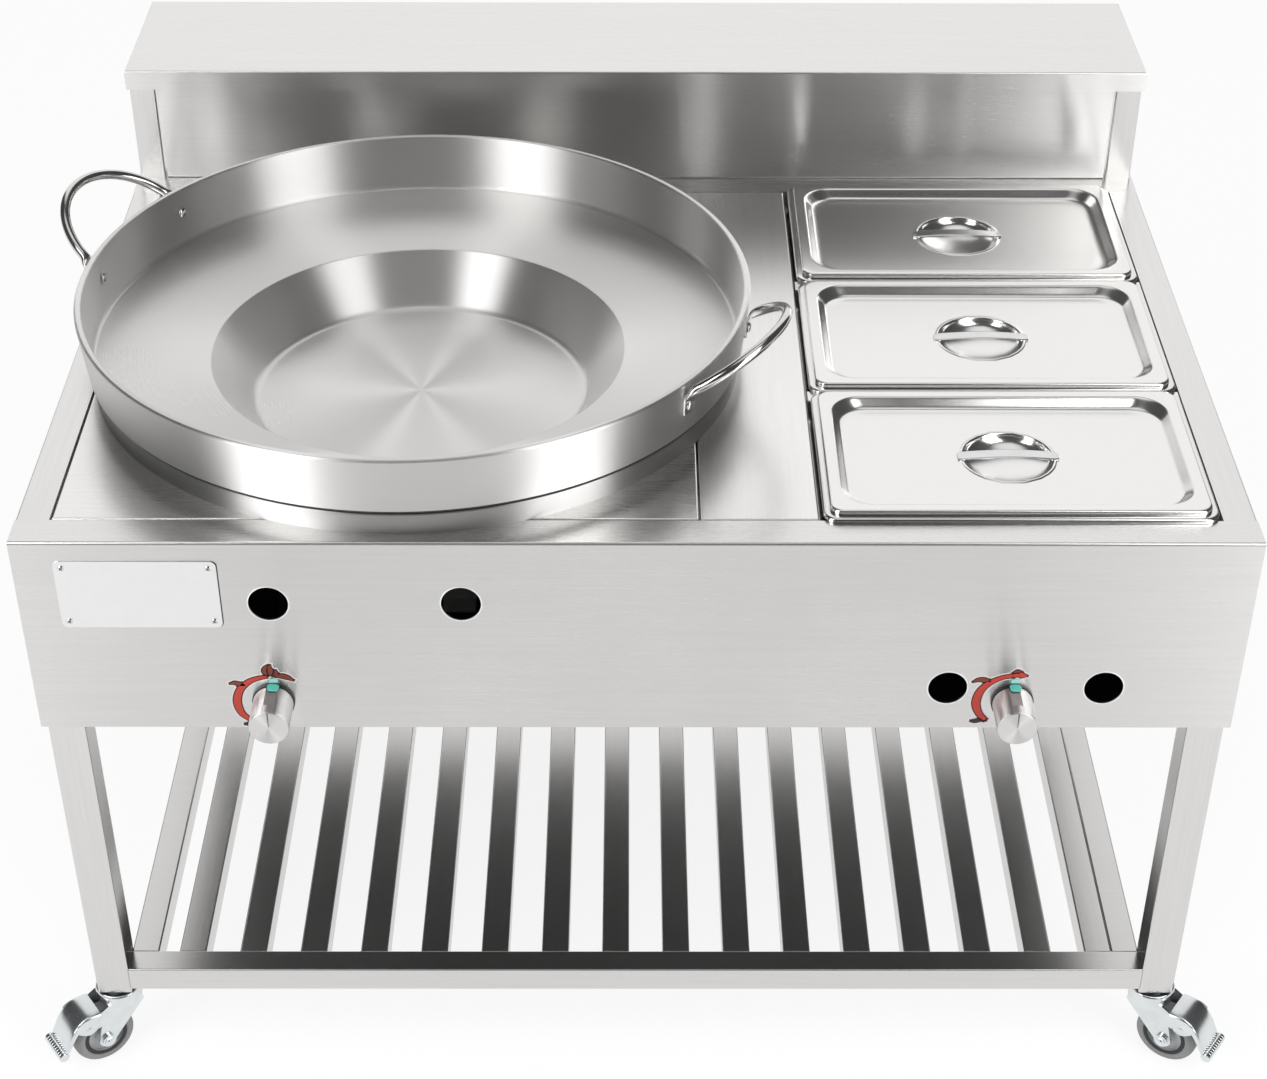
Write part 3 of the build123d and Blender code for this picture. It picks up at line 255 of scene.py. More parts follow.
def grey(level: float, warmth: float = 0.0) -> tuple[float, float, float]:
    """A near-neutral colour, redder with warmth."""
    return (level * (1 + warmth), level, level * (1 - warmth))


Point = tuple[float, float, float]
Section = tuple[tuple[float, float], ...]
Stroke = tuple[Point, ...]


@dataclass
class Shape:
    """A mesh in the making, in millimetres in the row frame."""

    points: list[Point] = field(default_factory=list)
    faces: list[tuple[int, ...]] = field(default_factory=list)

    def add_ring(self, ring: list[Point]) -> list[int]:
        """Add points.

        Args:
            ring: the points.

        Returns:
            Their numbers.
        """
        start = len(self.points)
        self.points.extend(tuple(point) for point in ring)
        return list(range(start, len(self.points)))

    def loft(self, rings: list[list[Point]], caps: bool = False) -> "Shape":
        """Skin closed rings of equal count.

        Args:
            rings: the rings, in order.
            caps: whether the first and last rings are filled.

        Returns:
            The shape itself.
        """
        numbers = [self.add_ring(ring) for ring in rings]
        count = len(numbers[0])
        for low, high in zip(numbers, numbers[1:]):
            for i in range(count):
                j = (i + 1) % count
                self.faces.append((low[i], low[j], high[j], high[i]))
        if caps:
            self.faces.append(tuple(reversed(numbers[0])))
            self.faces.append(tuple(numbers[-1]))
        return self

    def join(self, other: "Shape") -> "Shape":
        """Take another shape's mesh in.

        Args:
            other: the other shape.

        Returns:
            The shape itself.
        """
        offset = len(self.points)
        self.points.extend(other.points)
        self.faces.extend(tuple(i + offset for i in face) for face in other.faces)
        return self

    def moved(self, matrix: Matrix) -> "Shape":
        """A copy under a transform."""
        return Shape([tuple(matrix @ Vector(point)) for point in self.points], list(self.faces))

    def piece(
        self,
        name: str,
        material: bpy.types.Material,
        body: str,
        slot: str,
        crease: float = 35.0,
        place: Matrix | None = None,
    ) -> bpy.types.Object:
        """Turn the shape into a Blender object that rides a body.

        Args:
            name: the piece's name.
            material: its finish.
            body: the CAD body that carries it.
            slot: not used.
            crease: edge angle in degrees from which the shading breaks.
            place: the object's own transform, for a finish that turns about its axis.

        Returns:
            The object.
        """
        mesh = bpy.data.meshes.new(name)
        scaled = [tuple(value * MM for value in point) for point in self.points]
        mesh.from_pydata(scaled, [], self.faces)
        cleaner = bmesh.new()
        cleaner.from_mesh(mesh)
        bmesh.ops.remove_doubles(cleaner, verts=cleaner.verts, dist=1e-6)
        bmesh.ops.recalc_face_normals(cleaner, faces=cleaner.faces)
        cleaner.to_mesh(mesh)
        cleaner.free()
        mesh.polygons.foreach_set("use_smooth", [True] * len(mesh.polygons))
        mesh.set_sharp_from_angle(angle=math.radians(crease))
        mesh.materials.append(material)
        made = bpy.data.objects.new(name, mesh)
        bpy.context.scene.collection.objects.link(made)
        if place is not None:
            place = place.copy()
            place.translation *= MM
            made.matrix_world = place
        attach(made, body)
        log.info("piece %s on %s, %d faces", name, body, len(mesh.polygons))
        return made


def at(x: float, y: float, z: float) -> Matrix:
    """A shift."""
    return Matrix.Translation((x, y, z))


def turn_about(axis: str, degrees: float) -> Matrix:
    """A turn about one of the axes."""
    return Matrix.Rotation(math.radians(degrees), 4, axis)


def circle_ring(radius: float, z: float, count: int) -> list[Point]:
    """Points round a level circle about the Z axis, starting at +X."""
    turns = (2 * math.pi * i / count for i in range(count))
    return [(radius * math.cos(turn), radius * math.sin(turn), z) for turn in turns]


def rounded_ring(length: float, width: float, corner: float, z: float) -> list[Point]:
    """Points round a level rounded rectangle.

    Args:
        length: size along X.
        width: size along Y.
        corner: corner radius.
        z: height.

    Returns:
        The points, from the middle of the +X side round to the left.
    """
    arc_steps, side_steps = 10, 7
    arcs: list[list[Point]] = []
    for number, (sx, sy) in enumerate(((1, 1), (-1, 1), (-1, -1), (1, -1))):
        cx, cy = sx * (length / 2 - corner), sy * (width / 2 - corner)
        turns = (math.pi / 2 * (number + i / arc_steps) for i in range(arc_steps + 1))
        arcs.append([(cx + corner * math.cos(turn), cy + corner * math.sin(turn), z) for turn in turns])
    ring: list[Point] = []
    for arc, following in zip(arcs, arcs[1:] + arcs[:1]):
        (x, y, _), (end_x, end_y, _) = arc[-1], following[0]
        shares = (i / side_steps for i in range(1, side_steps))
        ring += arc + [(x + share * (end_x - x), y + share * (end_y - y), z) for share in shares]
    return ring


def lathe(profile: list[tuple[float, float]] | Section, count: int) -> Shape:
    """Turn an (r, z) profile about the Z axis.

    Args:
        profile: radius and height pairs; a radius of 0 closes the end.
        count: steps round.

    Returns:
        The shape.
    """
    return Shape().loft([circle_ring(max(radius, 1e-4), z, count) for radius, z in profile])


def filleted(corners: list[tuple[float, float, float]], steps: int = 7) -> list[tuple[float, float]]:
    """Round the corners of an (r, z) profile, with a guard point on each side of an arc.

    Args:
        corners: radius, height and fillet of each corner.
        steps: spans on each arc.

    Returns:
        The profile's points.
    """
    guard = 0.35
    line = [Vector(corners[0][:2])]
    for before, corner, after in zip(corners, corners[1:], corners[2:]):
        point, radius = Vector(corner[:2]), corner[2]
        back = (Vector(before[:2]) - point).normalized()
        ahead = (Vector(after[:2]) - point).normalized()
        half = back.angle(ahead) / 2
        reach = radius / math.tan(half)
        centre = point + (back + ahead).normalized() * (radius / math.sin(half))
        first, last = point + back * reach - centre, point + ahead * reach - centre
        line.append(point + back * (reach + guard * radius))
        for i in range(steps + 1):
            share = i / steps
            arm = first * (1 - share) + last * share
            line.append(centre + arm.normalized() * radius)
        line.append(point + ahead * (reach + guard * radius))
    line.append(Vector(corners[-1][:2]))
    return [(point.x, point.y) for point in line]


def ribbon(line: list[tuple[float, float]], widths: list[float], grow: float, depth: float) -> Shape:
    """Flat strip of varying width in the XZ plane, its front at y = 0 and its back at y = depth.

    Args:
        line: centre line.
        widths: full width at each point.
        grow: how far the outline lies outside the strip all round.
        depth: thickness.

    Returns:
        The strip.
    """
    rings = []
    last = len(line) - 1
    for i, ((x, z), width) in enumerate(zip(line, widths)):
        ahead, behind = line[min(i + 1, last)], line[max(i - 1, 0)]
        along = Vector((ahead[0] - behind[0], ahead[1] - behind[1])).normalized()
        end = -grow if i == 0 else grow if i == last else 0.0
        x, z = x + along.x * end, z + along.y * end
        half = width / 2 + grow
        left_x, left_z = x - along.y * half, z + along.x * half
        right_x, right_z = x + along.y * half, z - along.x * half
        front = [(left_x, 0, left_z), (right_x, 0, right_z)]
        rings.append(front + [(right_x, depth, right_z), (left_x, depth, left_z)])
    return Shape().loft(rings, caps=True)


def smooth_line(points: list[Vector], per_span: int) -> list[Vector]:
    """Points along a Catmull-Rom curve through the given ones.

    Args:
        points: the points to pass through.
        per_span: steps between two of them.

    Returns:
        The finer line.
    """
    padded = [points[0] * 2 - points[1], *points, points[-1] * 2 - points[-2]]
    line: list[Vector] = []
    for a, b, c, d in zip(padded, padded[1:], padded[2:], padded[3:]):
        for i in range(per_span):
            t = i / per_span
            square, cube = 2 * a - 5 * b + 4 * c - d, 3 * b - a - 3 * c + d
            line.append(0.5 * (2 * b + (c - a) * t + square * t**2 + cube * t**3))
    line.append(points[-1])
    return line


@dataclass(frozen=True)
class BrushedSteel:
    """Brushed stainless: streaks and bands along the grain, slight clouding, fine relief."""

    name: str
    level: float = 0.66
    warmth: float = 0.012
    roughness: float = 0.24
    level_roughness: float = 0.22
    grain: Grain = Grain.ALONG_X
    anisotropy: float = 0.0
    streak: float = 0.25
    clouding: float = 0.06
    relief: float = 0.1
    level_share: float = 1.0  # how far level faces take the even lobe
    centre: tuple[float, float] = COMAL_CENTRE
    line_scale: float = 2600.0
    band_scale: float = 420.0
    cloud_scale: float = 4.5
    relief_height: float = 0.00002
    band_weight: float = 0.7
    tones: tuple[float, float] = (0.86, 1.12)
    roughness_weights: tuple[float, float] = (0.48, 0.08)  # of the lines and the cloud
    across_grain: float = 0.25  # turns the highlight across the grain
    level_edges: tuple[float, float] = (0.5, 0.8)  # squared upward share of the normal

    def _grain_place(self, graph: Graph) -> bpy.types.NodeSocket:
        """Coordinates stretched along the grain, or polar ones for a turned grain.

        Args:
            graph: the material's graph.

        Returns:
            The vector that the streak noise is read at.
        """
        place = graph.place()
        if self.grain is not Grain.ROUND:
            return graph.scaled(place, self.grain.value)
        x = graph.axis(place, 0) - self.centre[0] * MM
        y = graph.axis(place, 1) - self.centre[1] * MM
        radius = (x * x + y * y) ** 0.5
        node = graph.node("ShaderNodeCombineXYZ", inputs={0: radius, 1: graph.axis(place, 2), 2: 0.0})
        return node.outputs[0]

    def build(self) -> bpy.types.Material:
        """Make the material: a grained lobe on upright faces and an even one on level faces."""
        material = bpy.data.materials.new(self.name)
        graph = Graph(material)
        grain_place = self._grain_place(graph)
        lines = graph.noise(grain_place, self.line_scale, 3.0, 0.6)
        bands = graph.noise(grain_place, self.band_scale, 2.0, 0.5)
        cloud = graph.noise(graph.place(), self.cloud_scale, 3.0, 0.55)
        tone = (lines - 0.5) * self.streak + (bands - 0.5) * (self.streak * self.band_weight)
        tone = tone + (cloud - 0.5) * (2 * self.clouding)
        shade = (tone + 0.5).step_between(0.1, 0.9)
        low, high = (grey(self.level * tone, self.warmth) for tone in self.tones)
        colour = graph.mix(shade, low, high)
        normal = graph.bump(bands, self.relief_height, self.relief)
        line_weight, cloud_weight = self.roughness_weights
        streaks = (lines - 0.5) * (line_weight * self.streak) + (cloud - 0.5) * cloud_weight
        shaders = []
        for roughness, anisotropy in ((self.roughness, self.anisotropy), (self.level_roughness, 0.0)):
            inputs = {
                "Base Color": colour,
                "Metallic": 1.0,
                "Roughness": streaks + roughness,
                "Anisotropic": anisotropy,
                "Anisotropic Rotation": self.across_grain,
                "Normal": normal,
            }
            shaders.append(graph.node("ShaderNodeBsdfPrincipled", inputs=inputs).outputs[0])
        upward = graph.axis(graph.node("ShaderNodeNewGeometry").outputs["Normal"], 2)
        level = (upward * upward).step_between(*self.level_edges) * self.level_share
        blend = graph.node("ShaderNodeMixShader", inputs={0: level, 1: shaders[0], 2: shaders[1]})
        graph.node("ShaderNodeOutputMaterial", inputs={"Surface": blend.outputs[0]})
        return material


@dataclass(frozen=True)
class SmoothMetal:
    """Polished or plated metal with faint clouding and fine pitting."""

    name: str
    colour: tuple[float, float, float] = (0.72, 0.72, 0.72)
    roughness: float = 0.12
    variation: float = 0.1
    pitting: float = 0.1
    metallic: float = 1.0
    cloud_scale: float = 60.0
    speck_scale: float = 900.0
    speck_height: float = 0.0001
    roughness_weights: tuple[float, float] = (0.14, 0.06)  # of the cloud and the specks

    def build(self) -> bpy.types.Material:
        """Make the material."""
        material = bpy.data.materials.new(self.name)
        graph = Graph(material)
        place = graph.place()
        cloud = graph.noise(place, self.cloud_scale, 3.0, 0.6)
        speck = graph.noise(place, self.speck_scale, 2.0, 0.5)
        low = tuple(c * (1 - self.variation) for c in self.colour)
        high = tuple(min(1.0, c * (1 + self.variation)) for c in self.colour)
        cloud_weight, speck_weight = self.roughness_weights
        graph.surface(
            {
                "Base Color": graph.mix(cloud, low, high),
                "Metallic": self.metallic,
                "Roughness": self.roughness + (cloud - 0.5) * cloud_weight + (speck - 0.5) * speck_weight,
                "Normal": graph.bump(speck, self.speck_height, self.pitting),
            }
        )
        return material


@dataclass(frozen=True)
class DullCoat:
    """Plastic, rubber, paint or iron: matt, with a grain of its own scale."""

    name: str
    colour: tuple[float, float, float] = (0.03, 0.03, 0.03)
    roughness: float = 0.55
    grain_scale: float = 1500.0
    grain_depth: float = 0.25
    variation: float = 0.25
    cloud_scale: float = 35.0
    grain_height: float = 0.0002
    roughness_weight: float = 0.2

    def build(self) -> bpy.types.Material:
        """Make the material."""
        material = bpy.data.materials.new(self.name)
        graph = Graph(material)
        place = graph.place()
        cloud = graph.noise(place, self.cloud_scale, 4.0, 0.6)
        fine = graph.noise(place, self.grain_scale, 3.0, 0.6)
        low = tuple(c * (1 - self.variation) for c in self.colour)
        high = tuple(c * (1 + self.variation) for c in self.colour)
        graph.surface(
            {
                "Base Color": graph.mix(cloud, low, high),
                "Roughness": self.roughness + (fine - 0.5) * self.roughness_weight,
                "Normal": graph.bump(fine, self.grain_height, self.grain_depth),
            }
        )
        return material


@dataclass
class Finishes:
    """Every material of the cart, made once."""

    made: dict[str, bpy.types.Material] = field(default_factory=dict)

    def __post_init__(self) -> None:
        """Build the materials."""
        recipes = [
            BrushedSteel("panel_steel", roughness=0.3, anisotropy=1.0, level=0.79, level_roughness=0.28),
            BrushedSteel("side_panel_steel", grain=Grain.ALONG_Y, roughness=0.38, anisotropy=1.0, level=0.76),
            BrushedSteel("top_steel", level=0.88, roughness=0.24, level_roughness=0.28, relief=0.08),
            BrushedSteel("plate_steel", grain=Grain.ALONG_Y, level=0.92, roughness=0.3, level_roughness=0.3),
            BrushedSteel("tube_steel_x", level=0.68, roughness=0.24, relief=0.04),
            BrushedSteel("tube_steel_y", level=0.68, roughness=0.24, relief=0.04, grain=Grain.ALONG_Y),
            BrushedSteel("tube_steel_z", level=0.68, roughness=0.22, grain=Grain.ALONG_Z),
            BrushedSteel(
                "comal_steel", level=0.84, grain=Grain.ROUND, anisotropy=0.97, roughness=0.42,
                level_roughness=0.26, level_share=0.42, relief=0.0, streak=0.02, clouding=0.03,
            ),
            BrushedSteel(
                "ring_steel", level=0.55, grain=Grain.ROUND, anisotropy=0.97, roughness=0.4,
                relief=0.0, streak=0.1,
            ),
            BrushedSteel(
                "turned_steel", level=0.68, grain=Grain.ROUND, anisotropy=0.95, roughness=0.33,
                level_share=0.0, relief=0.0, streak=0.08, clouding=0.03, centre=(0.0, 0.0),
            ),
            BrushedSteel(
                "pan_steel", level=0.8, roughness=0.13, level_roughness=0.15, streak=0.06, clouding=0.03,
            ),
            BrushedSteel(
                "lid_steel", level=0.87, roughness=0.17, level_roughness=0.22, streak=0.05, clouding=0.03,
            ),
            SmoothMetal("strap_steel", (0.74, 0.74, 0.74), 0.16),
            SmoothMetal("handle_steel", (0.7, 0.69, 0.68), 0.14),
            SmoothMetal("nameplate_metal", (0.8, 0.8, 0.8), 0.36, 0.03),
            SmoothMetal("screw_steel", (0.66, 0.66, 0.66), 0.2),
            SmoothMetal("valve_brass", (0.72, 0.53, 0.24), 0.25),
            SmoothMetal("zinc", (0.74, 0.77, 0.78), 0.24, 0.12, 0.3),
            SmoothMetal("bracket_steel", (0.74, 0.74, 0.72), 0.5, 0.12, 0.4, 0.3),
            # near-black finish of the comal's underside: painted shade in the gap over the stand ring, and
            # heat discolouring
            SmoothMetal("heated_steel", (0.09, 0.085, 0.08), 0.5, 0.3, 0.4),
            # near-white metal of the lighting hole rims: a painted highlight along their edges
            SmoothMetal("cut_edge", (0.95, 0.95, 0.95), 0.5, 0.03),
            SmoothMetal("burner_steel", (0.42, 0.41, 0.39), 0.4, 0.25, 0.5),
            DullCoat("bezel_black", (0.012, 0.012, 0.013), 0.4),
            DullCoat("scribed_line", (0.1, 0.1, 0.1), 0.5),
            DullCoat("red_ink", (0.42, 0.035, 0.02), 0.6, grain_depth=0.08, variation=0.15),
            DullCoat("dark_ink", (0.03, 0.008, 0.006), 0.6, grain_depth=0.08),
            DullCoat("rust_ink", (0.16, 0.03, 0.015), 0.6, grain_depth=0.08, variation=0.3),
            DullCoat("pale_ink", (0.62, 0.6, 0.6), 0.35, grain_depth=0.08, variation=0.05),
            DullCoat("teal_ink", (0.09, 0.42, 0.36), 0.45, grain_depth=0.08, variation=0.12),
            DullCoat("pale_teal_ink", (0.3, 0.56, 0.5), 0.45, grain_depth=0.08, variation=0.1),
            DullCoat("burner_iron", (0.05, 0.05, 0.05), 0.7, grain_scale=900.0, grain_depth=0.6),
            DullCoat("pipe_black", (0.03, 0.03, 0.03), 0.5),
            DullCoat("tray_dark", (0.02, 0.02, 0.02), 0.6),
            DullCoat("tyre_grey", (0.23, 0.23, 0.23), 0.5),
            DullCoat("hub_grey", (0.42, 0.43, 0.44), 0.35),
        ]
        for recipe in recipes:
            self.made[recipe.name] = recipe.build()

    def __getitem__(self, name: str) -> bpy.types.Material:
        """The material of that name."""
        return self.made[name]


def four_of(kind: str) -> tuple[str, ...]:
    """Node names of a piece that every caster has."""
    return tuple(f"{kind}_{end}_{side}" for end in ("front", "rear") for side in ("left", "right"))


@dataclass
class FramePieces:
    """The CAD nodes that stay in view, each with its finish."""

    finishes: Finishes
    choice: dict[str, tuple[str, ...]] = field(
        default_factory=lambda: {
            "panel_steel": ("front_apron", "rear_apron", "backsplash_panel", "top_shelf"),
            "side_panel_steel": ("left_apron", "right_apron"),
            "top_steel": ("burner_top_plate", "pan_dividers"),
            "plate_steel": ("side_top_plate",),
            "tube_steel_y": ("rack_slats", "cross_bearers"),
            "tube_steel_x": ("rack_rails",),
            "tube_steel_z": ("front_legs", "rear_legs", "backsplash_posts", "corner_angles", "shelf_gussets"),
            "pan_steel": ("water_tank", "pan_front", "pan_middle", "pan_rear"),
            "comal_steel": ("comal",),
            "nameplate_metal": ("nameplate",),
            "bezel_black": ("knob_bezels",),
            "valve_brass": ("valves", "gas_inlet"),
            "pipe_black": ("gas_manifold", "ring_burner_feed"),
            "burner_iron": ("ring_burner",),
            "burner_steel": ("tube_burner",),
            "bracket_steel": ("ring_burner_brackets", "tube_burner_brackets", "air_shutters"),
            "tray_dark": ("bottom_tray",),
            "zinc": ("caster_stems", *four_of("fork"), "pedal_front_left", "pedal_front_right"),
            "tyre_grey": four_of("tyre"),
            "hub_grey": four_of("hub"),
        }
    )

    def dress(self) -> int:
        """Give each node its finish.

        Returns:
            How many nodes were dressed.
        """
        count = 0
        for finish, names in self.choice.items():
            for name in names:
                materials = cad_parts[name].data.materials
                materials.clear()
                materials.append(self.finishes[finish])
                count += 1
        return count


@dataclass(frozen=True)
class Softbox:
    """A soft rectangular lamp, in metres and watts."""

    name: str
    place: tuple[float, float, float]
    size: tuple[float, float]
    watts: float
    aim: tuple[float, float, float] = (-0.2, -0.09, 0.9)

    def hang(self) -> None:
        """Hang the lamp and turn it to its aim."""
        data = bpy.data.lights.new(self.name, "AREA")
        data.shape = "RECTANGLE"
        data.size, data.size_y = self.size
        data.energy = self.watts
        lamp = bpy.data.objects.new(self.name, data)
        lamp.location = self.place
        toward = Vector(self.aim) - Vector(self.place)
        lamp.rotation_euler = toward.to_track_quat("-Z", "Y").to_euler()
        lamp.visible_camera = False
        bpy.context.scene.collection.objects.link(lamp)


@dataclass
class Studio:
    """Camera, floor, sky and softboxes."""

    focal_mm: float = 68.21
    sensor_mm: float = 36.0
    shift: tuple[float, float] = (-0.0045, 0.0951)
    eye: tuple[float, float, float] = (-6.3, -1990.0, 1697.5)
    pitch: float = 37.43
    yaw: float = 0.30
    roll: float = 0.23
    floor_half: float = 12.0
    floor_level: float = 0.95
    floor_glow: float = 0.85
    floor_glossy: float = 0.85
    backdrop: tuple[float, float] = (0.42, 0.58)  # edges of the white sky behind
    overhead: tuple[float, float] = (0.9, 0.98)  # edges of the patch above
    overhead_level: float = 0.85
    room_level: float = 0.06
    fill_level: float = 0.75  # sky that dull surfaces see
    softboxes: tuple[Softbox, ...] = (
        Softbox("left_softbox", (-1.2, -1.28, 1.35), (0.75, 2.1), 17.0),
        Softbox("right_softbox", (1.08, -1.2, 1.35), (0.85, 2.1), 16.0),
    )

    def place_camera(self) -> None:
        """Put the camera where the photograph was taken from."""
        data = bpy.data.cameras.new("photo_camera")
        data.sensor_fit = "HORIZONTAL"
        data.sensor_width = self.sensor_mm
        data.lens = self.focal_mm
        data.shift_x, data.shift_y = self.shift
        data.clip_end = 100.0
        camera = bpy.data.objects.new("photo_camera", data)
        bpy.context.scene.collection.objects.link(camera)
        pitch, yaw, roll = (math.radians(a) for a in (self.pitch, self.yaw, self.roll))
        level = math.cos(pitch)
        ahead = Vector((math.sin(yaw) * level, math.cos(yaw) * level, -math.sin(pitch)))
        right = ahead.cross(Vector((0, 0, 1))).normalized()
        up = right.cross(ahead)
        rolled = right * math.cos(roll) + up * math.sin(roll)
        up = rolled.cross(ahead)
        turn = Matrix((rolled, up, -ahead)).transposed()
        camera.matrix_world = Matrix.Translation(Vector(self.eye) * MM) @ turn.to_4x4()
        bpy.context.scene.camera = camera

    def lay_floor(self) -> None:
        """Lay a plain pale floor."""
        material = bpy.data.materials.new("pale_floor")
        graph = Graph(material)
        fine = graph.noise(graph.place(), 40.0, 3.0)
        level = self.floor_level
        paper = graph.node(
            "ShaderNodeBsdfDiffuse",
            inputs={"Color": graph.mix(fine, grey(level * 0.99), grey(level)), "Roughness": 0.5},
        )
        glow = graph.node("ShaderNodeEmission", inputs={"Color": (1, 1, 1, 1), "Strength": 1.0})
        share = graph.background_share(self.floor_glossy) * self.floor_glow
        sockets = {0: share, 1: paper.outputs[0], 2: glow.outputs[0]}
        blended = graph.node("ShaderNodeMixShader", inputs=sockets)
        graph.node("ShaderNodeOutputMaterial", inputs={"Surface": blended.outputs[0]})
        half = self.floor_half
        mesh = bpy.data.meshes.new("floor")
        corners = [(-half, -half, 0.0), (half, -half, 0.0), (half, half, 0.0), (-half, half, 0.0)]
        mesh.from_pydata(corners, [], [(0, 1, 2, 3)])
        mesh.materials.append(material)
        floor = bpy.data.objects.new("floor", mesh)
        bpy.context.scene.collection.objects.link(floor)

    def hang_sky(self) -> None:
        """White backdrop behind, a white patch overhead and a dark room elsewhere."""
        world = bpy.data.worlds.new("studio")
        bpy.context.scene.world = world
        graph = Graph(world)
        place = graph.node("ShaderNodeTexCoord").outputs["Generated"]
        across = graph.axis(place, 0)
        behind = (graph.axis(place, 1) - across * across).step_between(*self.backdrop)
        above = graph.axis(place, 2).step_between(*self.overhead)
        room = graph.mix(behind, grey(self.room_level), grey(1.0))
        room = graph.mix(above, room, grey(self.overhead_level))
        rays = graph.node("ShaderNodeLightPath").outputs
        colour = graph.mix(Signal(graph, rays["Is Glossy Ray"]), grey(self.fill_level), room)
        colour = graph.mix(Signal(graph, rays["Is Camera Ray"]), colour, grey(1.0))
        shader = graph.node("ShaderNodeBackground", inputs={"Color": colour, "Strength": 1.0})
        graph.node("ShaderNodeOutputWorld", inputs={"Surface": shader.outputs[0]})

    def build(self) -> None:
        """Make the whole studio."""
        self.place_camera()
        self.lay_floor()
        self.hang_sky()
        for softbox in self.softboxes:
            softbox.hang()
        bpy.context.scene.view_settings.view_transform = "Standard"


@dataclass
class Lids:
    """The three pan lids: rolled rim, stepped panel, round dish and grip strap."""

    finishes: Finishes
    length: float = 314.0
    width: float = 190.0
    lip: float = 4.4
    recess: float = 8.5
    dish_radius: float = 38.0
    dish_depth: float = 15.0
    sheet: float = 0.8
    top_z: float = 605.0
    strap_half: float = 40.5
    strap_width: float = 13.0
    strap_rise: float = 2.2
    strap_tail: float = 2.4  # length past each foot of the bow
    strap_seat: float = 0.8
    strap_height: float = 1.1
    spot_seat: float = 1.35

    def _panel_steps(self) -> list[tuple[float, float, float]]:
        """Inset, height and corner radius of the rounded rings, from the lip inwards.

        Returns:
            The steps.
        """
        steps = [(0.0, -self.lip, 11.0), (0.0, -2.3, 11.0), (0.25, -1.2, 11.0), (0.8, -0.45, 11.3)]
        steps += [(1.7, -0.08, 11.8), (2.8, 0.0, 12.6), (5.0, 0.0, 17.0), (8.2, 0.0, 25.5), (9.3, 0.0, 27.0)]
        top, foot, height, corner = 9.9, 24.0, -0.06, 27.0
        slopes = ((0.0, 0.25), (0.06, 0.75), (0.12, 1.0), (0.2, 1.0), (0.3, 1.0), (0.4, 1.0), (0.48, 0.98))
        slopes += ((0.54, 0.75), (0.59, 0.4), (0.66, 0.22), (0.76, 0.12), (0.88, 0.05), (1.0, 0.0))
        steps.append((top, height, corner))
        drops = [height]
        for (before, steep), (after, steeper) in zip(slopes, slopes[1:]):
            drops.append(drops[-1] - (after - before) * (foot - top) * (steep + steeper) / 2)
        scale = self.recess / -drops[-1]
        for (share, _), drop in zip(slopes[1:], drops[1:]):
            steps.append((top + share * (foot - top), drop * scale, corner - 6.0 * share))
        steps += [(25.2, -self.recess, 20.8), (28.0, -self.recess, 20.0)]
        return steps

    def _dish_steps(self) -> list[tuple[float, float]]:
        """Radius and height of the rings of the bead and the dish.

        Returns:
            The steps.
        """
        z = -self.recess
        bead = ((43.0, 0.0), (41.6, 0.0), (41.1, 0.25), (40.6, 0.55), (39.6, 0.7), (38.8, 0.45), (38.2, -0.2))
        steps = [(radius, z + rise) for radius, rise in bead]
        for share in (0.995, 0.98, 0.955, 0.92, 0.88, 0.83, 0.77, 0.7, 0.6, 0.48, 0.36, 0.24, 0.12, 0.0):
            steps.append((self.dish_radius * share, z - self.dish_depth * math.sqrt(1 - share**2)))
        return steps

    def _skin(self, drop: float, shrink: float) -> list[list[Point]]:
        """Rings of the lid's upper or lower skin.

        Args:
            drop: how far below the upper skin it lies.
            shrink: how far its outer wall lies inside.

        Returns:
            The rings, from the lip to the middle.
        """
        rings = []
        for inset, z, corner in self._panel_steps():
            inset = max(inset, shrink)
            z = z if z == -self.lip else z - drop
            rings.append(rounded_ring(self.length - 2 * inset, self.width - 2 * inset, corner, z))
        turns = [math.atan2(y, x) for x, y, _ in rings[-1]]
        for radius, z in self._dish_steps():
            rings.append([(radius * math.cos(turn), radius * math.sin(turn), z - drop) for turn in turns])
        return rings

    def _strap(self) -> Shape:
        """Bowed strap with turned edges.

        Returns:
            The strap, about the lid's centre.
        """
        section = [(-0.5, -0.5), (-0.5, 0.35), (-0.44, 0.75), (-0.36, 0.9), (-0.2, 0.72), (0.0, 0.66)]
        section += [(-y, z) for y, z in reversed(section[:-1])]
        section += [(0.36, -0.15), (-0.36, -0.15)]
        rings = []
        half, steps = self.strap_half + self.strap_tail, 28
        for i in range(steps + 1):
            x = -half + 2 * half * i / steps
            bow = max(0.0, 1 - (x / self.strap_half) ** 2) * self.strap_rise
            narrow = 1 - 0.25 * max(0.0, (abs(x) - self.strap_half + 2) / 4.4) ** 2
            width, lift = self.strap_width * narrow, self.strap_seat - self.recess + bow
            rings.append([(x, y * width, lift + z * self.strap_height) for y, z in section])
        return Shape().loft(rings, caps=True)

    def _weld_spots(self) -> Shape:
        """Two small spot welds at the strap's ends."""
        dome = lathe([(2.1, 0.0), (1.9, 0.25), (1.2, 0.42), (0.5, 0.3), (0.0, 0.28)], 20)
        spots = Shape()
        for side in (-1, 1):
            place = at(side * (self.strap_half + 0.2), 0, self.spot_seat - self.recess)
            spots.join(dome.moved(place))
        return spots

    def build(self) -> None:
        """Make the lids."""
        pressed, polished = self.finishes["lid_steel"], self.finishes["strap_steel"]
        shell = Shape().loft(list(reversed(self._skin(self.sheet, self.sheet))) + self._skin(0.0, 0.0))
        for row, setback in PAN_SETBACKS:
            place = at(PAN_X, FRONT_Y + setback, self.top_z)
            lid = shell.moved(place).piece(f"lid_{row}_pressing", pressed, f"lid_{row}", "lid_steel", 60.0)
            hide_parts(f"lid_{row}")
            for part, shape in (("strap", self._strap()), ("spot_welds", self._weld_spots())):
                shape.moved(place).piece(f"lid_{row}_{part}", polished, f"lid_{row}", "lid_steel")


